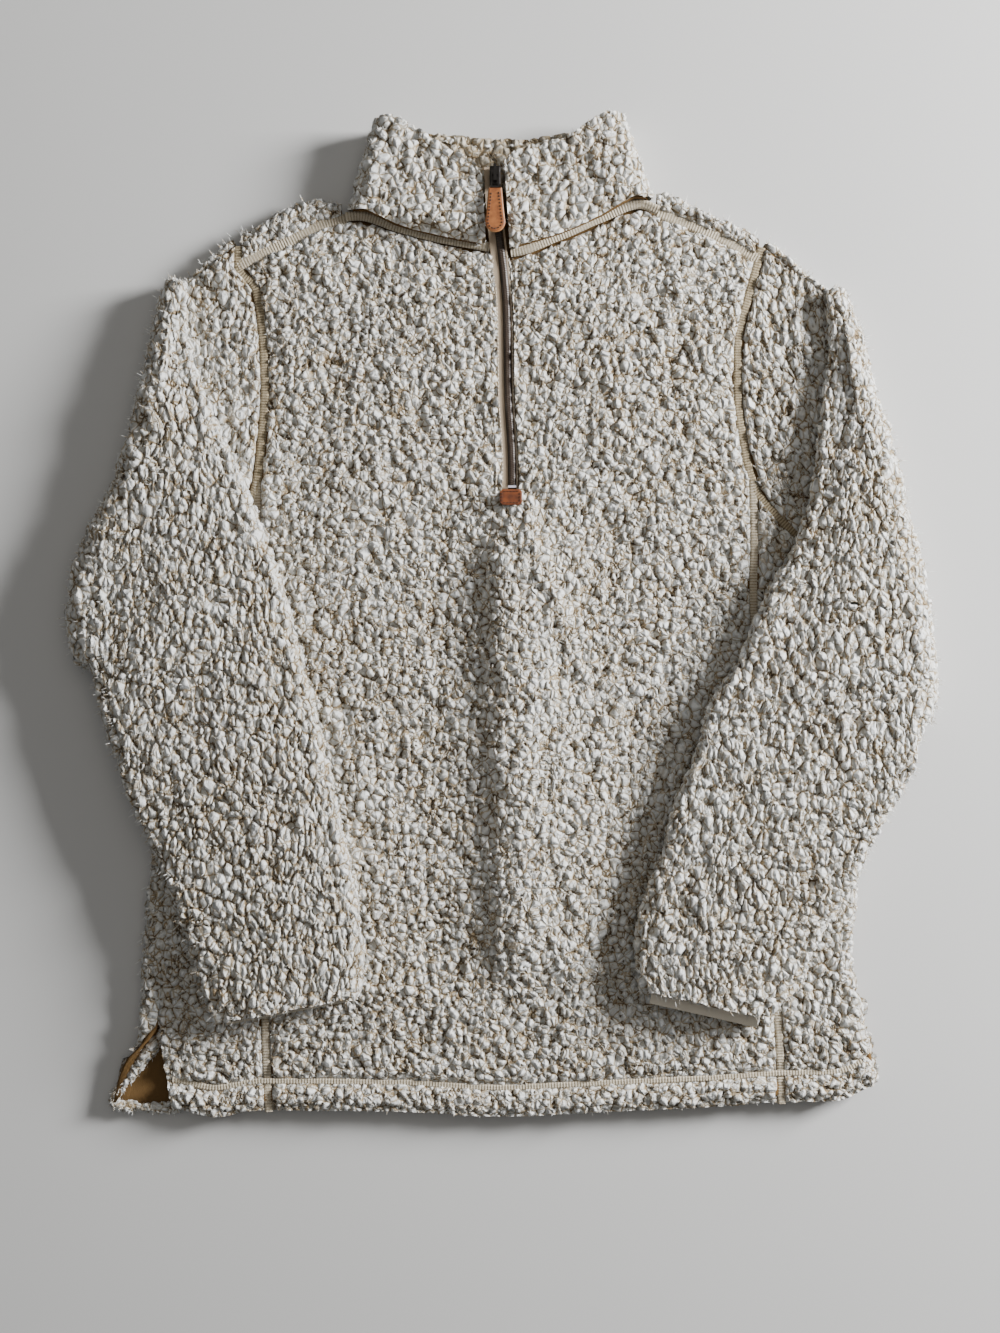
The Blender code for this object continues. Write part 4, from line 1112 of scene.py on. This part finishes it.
# Collar
up = np.linspace(0, 1, 18)
middle, ways = collarMiddle(np.linspace(0, 1, 18), np.linspace(0, 1, 26), up, 11)
outerLow = collarReach - collarWall["layer"]
innerHigh = collarWall["inside"] + collarWall["layer"]
outer = surface(middle, ways, outerLow, collarReach)
inner = surface(middle, -ways, -innerHigh, -collarWall["inside"])


# The collar's knit stays short of its free edges, so that the pile rolls over them.
def tucked(points):
    points = points.copy()
    points[-1] -= unit(points[-1] - points[-2]) * collarWall["tuckTop"]
    for edge, other in ((0, 1), (-1, -2)):
        inward = points[:, other] - points[:, edge]
        room = 0.8 * np.linalg.norm(inward, axis=-1)
        points[:, edge] += unit(inward) * np.minimum(collarWall["tuckSides"], room)[:, None]
    return points


knitMiddle = tucked(middle)
outerKnit = putGround("collarOuterKnit", surface(knitMiddle, ways, outerLow, collarReach))
innerKnit = putGround("collarInnerKnit", surface(knitMiddle, -ways, -innerHigh, -collarWall["inside"]))
double = surface(middle, ways, collarWall["inside"], collarReach)
topEdge = gridEdge(double, "row", -1, (0, 1, 0), steps=12, sweep=172)
zipEdges = [gridEdge(double, "column", index, (toZip, 0, 0), steps=12, sweep=172)
            for index, toZip in ((0, 1), (-1, -1))]


# Distance up the cloth from the collar's base seam.
def aboveSeam(outside):
    return outside[:, 1] - monotone(frontTop, outside[:, 0])


keepCollar = lambda outside, places: (aboveSeam(outside) > 0.6) | (places["way"][:, 2] <= -0.3)
scaleCollar = lambda outside, places: smoothStep(aboveSeam(outside), -3.0, 8.0)
keepInner = lambda outside, places: (places["way"][:, 2] > 0.2) & (outside[:, 1] > 322)
collarPile = growPile("collarPile", [outer, topEdge] + zipEdges, keep=keepCollar, scale=scaleCollar, size=9.4,
                      step=1.7, stretch=1.0)
dress(collarPile, collarFleece)
# the inner pile takes the darker fleece, painted shade under the collar's wings
collarInnerPile = growPile("collarInnerPile", [inner], keep=keepInner, size=9.0, step=1.7, stretch=1.0)
dress(collarInnerPile, shadedInnerFleece)
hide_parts("collar_outer")
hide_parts("collar_inner")
print("collar done", flush=True)

# Fluffy rim of the vent: the back's own edge turned up round the opening
vent = ((-254, -315, 9.0), (-266, -330, 8.5), (-281, -350, 7.0), (-292, -364, 6.0), (-295, -372, 6.0),
        (-283, -375.5, 6.0), (-262, -376, 6.0), (-246, -376, 6.0))


# A roll of pile along a path: most of a tube, open below.
def putRoll(name, path, radius, size, step):
    run = unit(np.gradient(path, axis=0))
    side = unit(np.cross(run, (0.0, 0.0, 1.0)))
    turns = np.radians(np.linspace(-35, 215, 12))
    ways = np.stack([math.cos(t) * side + math.sin(t) * np.array([0.0, 0.0, 1.0]) for t in turns], axis=1)
    roll = surface(np.repeat(path[:, None], len(turns), axis=1), ways, 0.5, radius)
    return dress(growPile(name, [roll], size=size, step=step, curl=2.6), fleece)


ventRim = putRoll("ventRimPile", along(vent, np.linspace(0, 1, 60)), 5.2, 6.2, 1.1)
furrow = seams["sideLeft"][3:]
furrow = np.column_stack([furrow, 10.5 + relief(furrow[:, 0], furrow[:, 1])])
putRoll("sideSeamPile", furrow, 4.2, 6.2, 1.3)


# Wisps: shares of the pile's normal, the way outwards and chance in their direction, how far they bend, their
# lengths' range as shares, their thickness in mm and their lowest point above the floor.
wisp = {"upright": 0.7, "outward": 0.45, "spread": 0.42, "bend": 0.3, "long": (0.6, 1.25),
        "thick": (0.22, 0.42), "lowest": 0.15}


# Loose wisps of fibre: bent three-sided spikes that start on a pile, in three rings that narrow to a tip.
def putWisps(name, piles, count, length, where):
    points, normals = [], []
    for pile in piles:
        size = len(pile.data.vertices)
        flat, turned = np.empty(size * 3, np.float32), np.empty(size * 3, np.float32)
        pile.data.vertices.foreach_get("co", flat)
        pile.data.vertex_normals.foreach_get("vector", turned)
        points.append(flat.reshape(-1, 3).astype(float) / mm)
        normals.append(turned.reshape(-1, 3).astype(float))
    points = np.concatenate(points) - (*garment["shift"], 0.0)
    normals = np.concatenate(normals)
    chosen = random.choice(np.flatnonzero(where(points, normals)), count)
    start, normal = points[chosen] - 0.5 * normals[chosen], normals[chosen]
    outward = unit(np.column_stack([start[:, 0], start[:, 1] - 40, np.zeros(count)]) + 1e-6)
    spread = random.normal(0, wisp["spread"], (count, 3))
    way = unit(wisp["upright"] * normal + wisp["outward"] * outward + spread)
    side = unit(np.cross(way, outward + (0.01, 0.02, 0.3)))
    other = np.cross(way, side)
    size = (length * random.uniform(*wisp["long"], count))[:, None]
    thick = random.uniform(*wisp["thick"], (count, 1))
    bend = (outward - way) * size * wisp["bend"]
    rings = []
    for share, width in ((0.0, 1.0), (0.4, 0.8), (0.75, 0.45)):
        centre = start + way * size * share + bend * share**2
        for turn in (0.0, 2.09, 4.19):
            rings.append(centre + thick * width * (math.cos(turn) * side + math.sin(turn) * other))
    tip = start + way * size + bend
    tip[:, 2] = np.maximum(tip[:, 2], 2 * wisp["lowest"])
    points = np.stack([*rings, tip], axis=1)
    points[..., 2] = np.maximum(points[..., 2], wisp["lowest"])
    quads = gridFaces(3, 3, ring=True)
    tris = np.array([[6, 7, 9], [7, 8, 9], [8, 6, 9], [2, 1, 0]])
    shift = (np.arange(count) * 10)[:, None, None]
    rise = np.tile([0.75] * 3 + [0.9] * 3 + [1.0] * 4, count)
    made = putMesh(name, points, quads[None] + shift, tris[None] + shift,
                   (("rise", rise), ("tone", np.repeat(random.random(count), 10))))
    dress(made, wispMat)


wispMat = fleeceMaterial("wispFleece", {**fleeceLook, "lockBump": 0.0, "fibreBump": 0.1})
onTopFaces = lambda points, normals: normals[:, 2] > -0.4
onOutline = lambda points, normals: (np.abs(normals[:, 2]) < 0.45) & (points[:, 2] > 5)
putWisps("bodyWisps", frontPiles, 2200, 3.4, onTopFaces)
putWisps("sleeveWisps", sleevePiles, 2600, 4.2, onTopFaces)
putWisps("outlineWisps", sleevePiles + [backTop], 2200, 6.4, onOutline)
putWisps("collarWisps", [collarPile, collarInnerPile], 1000, 3.6, onTopFaces)
putWisps("ventWisps", [ventRim], 160, 4.0, onTopFaces)
print("wisps done", flush=True)

# Seams, stitching and the zip's small parts

# Woven or stitched cloth: ribs across a band from its run attribute, with a fine noise over them.
def bandMaterial(name, colour, dark, pitch):
    kit = materialKit(name)
    run = kit.node("Attribute", {}, attribute_name="run").outputs["Fac"]
    turn = kit.node("Math", {0: run, 1: 2 * math.pi / pitch}, operation="MULTIPLY").outputs[0]
    wave = kit.node("Math", {0: turn}, operation="SINE").outputs[0]
    fibre = kit.node("TexNoise", {"Vector": kit.place, "Scale": 1300.0, "Detail": 3.0}).outputs["Fac"]
    total = kit.node("Math", {0: wave, 1: 0.28, 2: fibre}, operation="MULTIPLY_ADD").outputs[0]
    return kit.look(kit.ramp(total, ((0.15, dark), (0.75, colour))), kit.bump(total, 0.6, 0.0008), 0.9,
                    Specular_IOR_Level=0.2, Sheen_Weight=0.2)


# Points along a path at even steps, with a cubic curve through the given ones.
def evenPath(points, step):
    points = np.asarray(points, float)
    length = np.linalg.norm(np.diff(points, axis=0), axis=1).sum()
    return along(points, np.linspace(0, 1, max(int(length / step), 4)))


# A closed band along a path. profile gives places across, in widths, and heights above the path, which ribs
# swell and shrink along the path by a cosine of the pitch.
def putBand(name, path, normal, width, profile, mat, body="pullover", ribs=0.0, pitch=2.1):
    normal = np.broadcast_to(np.asarray(normal, float), path.shape)
    tangent = unit(np.gradient(path, axis=0))
    side = unit(np.cross(normal, tangent))
    run = runOf(path)
    across, up = np.array(profile).T
    lift = up[None, :] * (1 + ribs * np.cos(2 * math.pi * run / pitch)[:, None] * (up > 0.3)[None, :])
    points = path[:, None] + side[:, None] * (width * across)[None, :, None]
    points = points + normal[:, None] * lift[..., None]
    rows, columns = points.shape[:2]
    flat = points.reshape(-1, 3)
    faces = gridFaces(rows, columns, ring=True)
    runs = np.repeat(run[:, None] * mm, columns, axis=1)
    return dress(putMesh(name, flat, faceOut(flat, faces), attributes=(("run", runs),)), mat, body)


# Many short threads: each a bent six-sided spindle between two ends, lifted off the cloth in its middle.
def putStitches(name, starts, stops, normals, thick, mat, body="pullover"):
    starts, stops = np.asarray(starts, float), np.asarray(stops, float)
    normals = np.broadcast_to(np.asarray(normals, float), starts.shape)
    tangent = unit(stops - starts)
    side = unit(np.cross(normals, tangent))
    shares = np.array([0.0, 0.22, 0.5, 0.78, 1.0])
    radius = thick * np.array([0.45, 0.95, 1.0, 0.95, 0.45])
    height = thick * np.array([-0.9, 0.35, 0.7, 0.35, -0.9])
    turns = np.linspace(0, 2 * math.pi, 6, endpoint=False)
    centre = starts[:, None] + (stops - starts)[:, None] * shares[None, :, None]
    centre = centre + normals[:, None] * height[None, :, None]
    ring = (side[:, None, None] * np.cos(turns)[None, None, :, None]
            + normals[:, None, None] * np.sin(turns)[None, None, :, None])
    points = centre[:, :, None] + ring * radius[None, :, None, None]
    count = len(starts)
    faces = gridFaces(5, 6, ring=True)
    faces = faceOut(points[0].reshape(-1, 3), faces)
    faces = faces[None] + (np.arange(count) * 30)[:, None, None]
    return dress(putMesh(name, points.reshape(-1, 3), faces), mat, body)


bandLook = {"width": 6.6, "pitch": 2.1, "colour": (0.42, 0.35, 0.235), "dark": (0.17, 0.125, 0.068)}
domed = ((-0.5, -1.2), (-0.46, 0.35), (-0.25, 0.85), (-0.06, 0.7), (0.06, 0.7), (0.25, 0.85), (0.46, 0.35),
         (0.5, -1.2))
seamMat = bandMaterial("seamStitching", bandLook["colour"], bandLook["dark"], bandLook["pitch"] * mm)
hemMat = bandMaterial("hemStitching", (0.60, 0.535, 0.42), (0.33, 0.265, 0.175), 2.2 * mm)


# Path along a seam at a height above the folds of the front.
def onFront(plan, height):
    plan = np.asarray(plan, float)
    return np.column_stack([plan, height + relief(plan[:, 0], plan[:, 1])])


upward = (0.0, 0.0, 1.0)
seamLift = 13.6                 # height of a seam's band over the front's flat parts
for side in ("Left", "Right"):
    path = onFront(evenPath(seams["armhole" + side], 0.7), seamLift)
    putBand("armholeSeam" + side, path, upward, bandLook["width"], domed, seamMat, ribs=0.35)
    path = evenPath(seams["princess" + side], 0.7)
    above = path[:, 1] - monotone(hem, path[:, 0]) - garment["hemTurn"]
    path = onFront(path, seamLift)
    path[:, 2] -= 1.6 * np.exp(-(above / 4)**2)
    putBand("princessSeam" + side, path, upward, 6.2, domed, hemMat, ribs=0.35)

# shoulder seams and the collar's base seam: from x, to x, distance up the cloth, height, tilt and width
collarTilt = (0.0, -0.35, 0.94)
for name, low, high, higher, lift, tilt, width in (
        ("shoulderSeamLeft", -203, -120, 0.0, seamLift, upward, 9.0),
        ("shoulderSeamRight", 119, 196, 0.0, seamLift, upward, 9.0),
        ("collarSeamLeft", -120, -10, 0.4, 17.4, collarTilt, 7.4),
        ("collarSeamRight", 6, 119, 0.4, 17.4, collarTilt, 7.4)):
    x = np.linspace(low, high, 40)
    path = evenPath(np.column_stack([x, monotone(frontTop, x) + higher, np.full(40, lift)]), 0.7)
    path[:, 2] += relief(path[:, 0], path[:, 1])
    putBand(name, path, tilt, width, domed, hemMat, ribs=0.35)

# coverstitching of the hem
x = np.linspace(-250, 272, 300)
hemPath = evenPath(onFront(np.column_stack([x, monotone(hem, x) + garment["hemTurn"]]), seamLift), 0.75)
putBand("hemStitch", hemPath, upward, 4.6, domed, hemMat, ribs=0.3, pitch=2.2)

# Leather
leatherLook = {"colour": (0.33, 0.115, 0.032), "dark": (0.16, 0.048, 0.014), "edge": (0.50, 0.25, 0.11)}


# Leather: a slow stain darkens it and cells of grain dent it.
def leatherMaterial(name, colour, dark):
    kit = materialKit(name)
    grain = kit.node("TexVoronoi", {"Vector": kit.place, "Scale": 1500.0}, feature="DISTANCE_TO_EDGE")
    stain = kit.node("TexNoise", {"Vector": kit.place, "Scale": 210.0, "Detail": 5.0}).outputs["Fac"]
    return kit.look(kit.ramp(stain, ((0.3, dark), (0.62, colour))),
                    kit.bump(grain.outputs["Distance"], 0.25, 0.0003), 0.42)


# Metal, coil or thread in one colour, darkened by a third in places by noise.
def plainMaterial(name, colour, rough, metallic=0.0):
    kit = materialKit(name)
    wear = kit.node("TexNoise", {"Vector": kit.place, "Scale": 900.0, "Detail": 3.0}).outputs["Fac"]
    stops = ((0.3, tuple(0.7 * c for c in colour)), (0.7, colour))
    return kit.look(kit.ramp(wear, stops), None, rough, Metallic=metallic)


# Tape cloth: a fine twill from a slanted wave.
def tapeMaterial(name, colour, dark):
    kit = materialKit(name)
    twill = {"Vector": kit.place, "Scale": 420.0, "Distortion": 0.6}
    wave = kit.node("TexWave", twill, bands_direction="DIAGONAL").outputs["Fac"]
    return kit.look(kit.ramp(wave, ((0.0, dark), (0.8, colour))), kit.bump(wave, 0.4, 0.0003), 0.85,
                    Sheen_Weight=0.15)


leather = leatherMaterial("tanLeather", leatherLook["colour"], leatherLook["dark"])
leatherDark = leatherMaterial("brownLeather", (0.19, 0.048, 0.010), (0.085, 0.021, 0.005))
leatherEdge = leatherMaterial("leatherEdge", leatherLook["edge"], leatherLook["colour"])
sliderMetal = plainMaterial("blackMetal", (0.035, 0.032, 0.03), 0.32, 0.85)
coil = plainMaterial("brownCoil", (0.032, 0.02, 0.013), 0.45)
# The teeth are a lighter brown than the chain under them, partly painted highlight on their tops.
litTeeth = plainMaterial("brownTeethLit", (0.088, 0.057, 0.037), 0.32)
tape = tapeMaterial("twillTape", (0.50, 0.40, 0.29), (0.36, 0.27, 0.18))
binding = tapeMaterial("cuffTape", (0.93, 0.87, 0.74), (0.80, 0.72, 0.57))
tack = plainMaterial("tackThread", (0.62, 0.58, 0.66), 0.7)
darkThread = plainMaterial("darkThread", (0.045, 0.016, 0.008), 0.7)

for mat, nodes in ((tape, ("zip_tape_left", "zip_tape_right")), (coil, ("zip_chain",)), (tack, ("zip_stop",)),
                   (sliderMetal, ("zip_slider", "zip_link")), (leather, ("zip_pull",)),
                   (leatherDark, ("zip_patch",)), (binding, ("cuff_binding_left", "cuff_binding_right"))):
    for node in nodes:
        data = bpy.data.objects[node].data
        data.materials.clear()
        data.materials.append(mat)

# Coil: two rows of short loops, each a thread lying across half of the chain, half a pitch apart
y = np.arange(98.0, 321.0, 1.75)
starts, stops = [], []
for sign, late in ((-1, 0.0), (1, 0.87)):
    here = y + late
    x, z = monotone(zipLine, here), monotone(zipHeight, here) + 2.45
    starts.append(np.column_stack([x + sign * 2.75, here - 0.25, z - 0.9]))
    stops.append(np.column_stack([x - sign * 0.35, here + 0.25, z + 0.15]))
putStitches("coilTeeth", np.concatenate(starts), np.concatenate(stops), upward, 0.46, litTeeth)

# stitching of the tape's free edges to the front
for side, offset in (("Left", -7.3), ("Right", 4.1)):
    here = np.arange(100.0, 272.0, 3.0)
    x, z = monotone(zipLine, here) + offset, monotone(zipHeight, here) + 0.75
    starts, stops = np.column_stack([x, here, z]), np.column_stack([x, here + 2.2, z])
    putStitches("tapeStitch" + side, starts, stops, upward, 0.28, binding)

# Pull: stitching and a paler burnished edge round the teardrop
hinge = np.array([-6.0, 331.0, 34.4])
pull = {"top": -11.4, "length": 33.0, "width": 14.5, "thick": 2.6, "neck": 4.6}


# Half outline of the teardrop moved in by a distance, from its neck round its end to its neck.
def pullOutline(inset):
    half = pull["width"] / 2
    centre = pull["top"] - pull["length"] + half
    turns = np.linspace(0.25, -math.pi - 0.25, 25)
    end = np.column_stack([(half - inset) * np.cos(turns), centre + (half - inset) * np.sin(turns)])
    top = pull["top"] - inset * 1.3
    neckX = pull["neck"] - inset
    return np.concatenate([[[neckX, top]], end, [[-neckX, top]]])


outline = pullOutline(1.9)
length = runOf(outline)
at = np.arange(0.6, length[-1] - 2.0, 2.5)
ends = [np.column_stack([np.interp(at + k, length, outline[:, 0]), np.interp(at + k, length, outline[:, 1])])
        for k in (0.0, 1.8)]
for level in (1, -1):
    lift = level * (pull["thick"] / 2 + 0.06)
    starts, stops = (np.column_stack([end, np.full(len(at), lift)]) + hinge for end in ends)
    name = "pullStitch" + ("Top" if level > 0 else "Under")
    putStitches(name, starts, stops, (0, 0, level), 0.42, darkThread, "pull")
rim = pullOutline(-0.02)
rim = np.column_stack([rim, np.zeros(len(rim))]) + hinge
edgeProfile = ((-0.5, -0.95), (-0.5, 0.95), (0.5, 0.95), (0.5, -0.95))
putBand("pullEdge", evenPath(rim, 0.8), upward, 0.75, edgeProfile, leatherEdge, "pull")

# Patch: stitching just inside its edge
patch = {"size": (17.0, 12.0), "thick": 1.6, "inset": 1.7}
patchX = float(monotone(zipLine, 87.0)) - 1.0
patchZ = float(2 * reach + relief(np.array([patchX]), np.array([81.0]))[0]) + 1.6 + patch["thick"]
halfX, halfY = (size / 2 - patch["inset"] for size in patch["size"])
middles = [(patchX + k * 2.5, 87 + sign * halfY) for k in (-2, -1, 0, 1, 2) for sign in (-1, 1)]
starts = [(x - 0.85, y, patchZ) for x, y in middles]
stops = [(x + 0.85, y, patchZ) for x, y in middles]
middles = [(patchX + sign * halfX, 87 + k * 2.5) for k in (-1, 0, 1) for sign in (-1, 1)]
starts += [(x, y - 0.85, patchZ) for x, y in middles]
stops += [(x, y + 0.85, patchZ) for x, y in middles]
putStitches("patchStitch", starts, stops, upward, 0.26, darkThread)
print("details done", flush=True)

# Camera, light and floor
view = {"distance": 1.3, "aim": (-0.0012, -0.0398, 0.0), "tilt": 1.5, "frameHeight": 1.026, "film": 36.0}
studio = {"floor": (0.60, 0.595, 0.58, 1), "air": (0.93, 0.96, 1.0, 1), "airStrength": 0.14}


# The camera, tilted towards the hem: its lens is the film's size times the distance over the frame's height.
def putCamera():
    data = bpy.data.cameras.new("camera")
    camera = bpy.data.objects.new("camera", data)
    bpy.context.collection.objects.link(camera)
    tilt = math.radians(view["tilt"])
    aim = view["aim"]
    camera.location = (aim[0], aim[1] - view["distance"] * math.sin(tilt), view["distance"] * math.cos(tilt))
    camera.rotation_euler = (tilt, 0, 0)
    data.sensor_fit = "AUTO"
    data.sensor_width = view["film"]
    data.lens = view["film"] * view["distance"] / view["frameHeight"]
    bpy.context.scene.camera = camera


# A square light at a place, turned so that it shines at the origin.
def putArea(name, place, size, power, colour):
    data = bpy.data.lights.new(name, "AREA")
    data.size = size
    data.energy = power
    data.color = colour
    light = bpy.data.objects.new(name, data)
    bpy.context.collection.objects.link(light)
    light.location = place
    x, y, z = place
    light.rotation_euler = (math.atan2(math.hypot(x, y), z), 0, math.atan2(x, -y))


putCamera()
putArea("window", (1.9, 0.7, 0.85), 0.7, 170, (0.985, 0.99, 1.0))
putArea("ceiling", (0.2, 0.5, 2.6), 2.4, 12, (1.0, 0.95, 0.87))
world = bpy.data.worlds.new("studio")
world.use_nodes = True
background = world.node_tree.nodes["Background"]
background.inputs["Color"].default_value = studio["air"]
background.inputs["Strength"].default_value = studio["airStrength"]
bpy.context.scene.world = world

floorPoints = [(-3000, -3000, 0), (3000, -3000, 0), (3000, 3000, 0), (-3000, 3000, 0)]
floor = putMesh("floor", floorPoints, [(0, 1, 2, 3)])
floor.data.materials.append(materialKit("paleFloor").look(studio["floor"], None, 0.8))

print("scene done", flush=True)
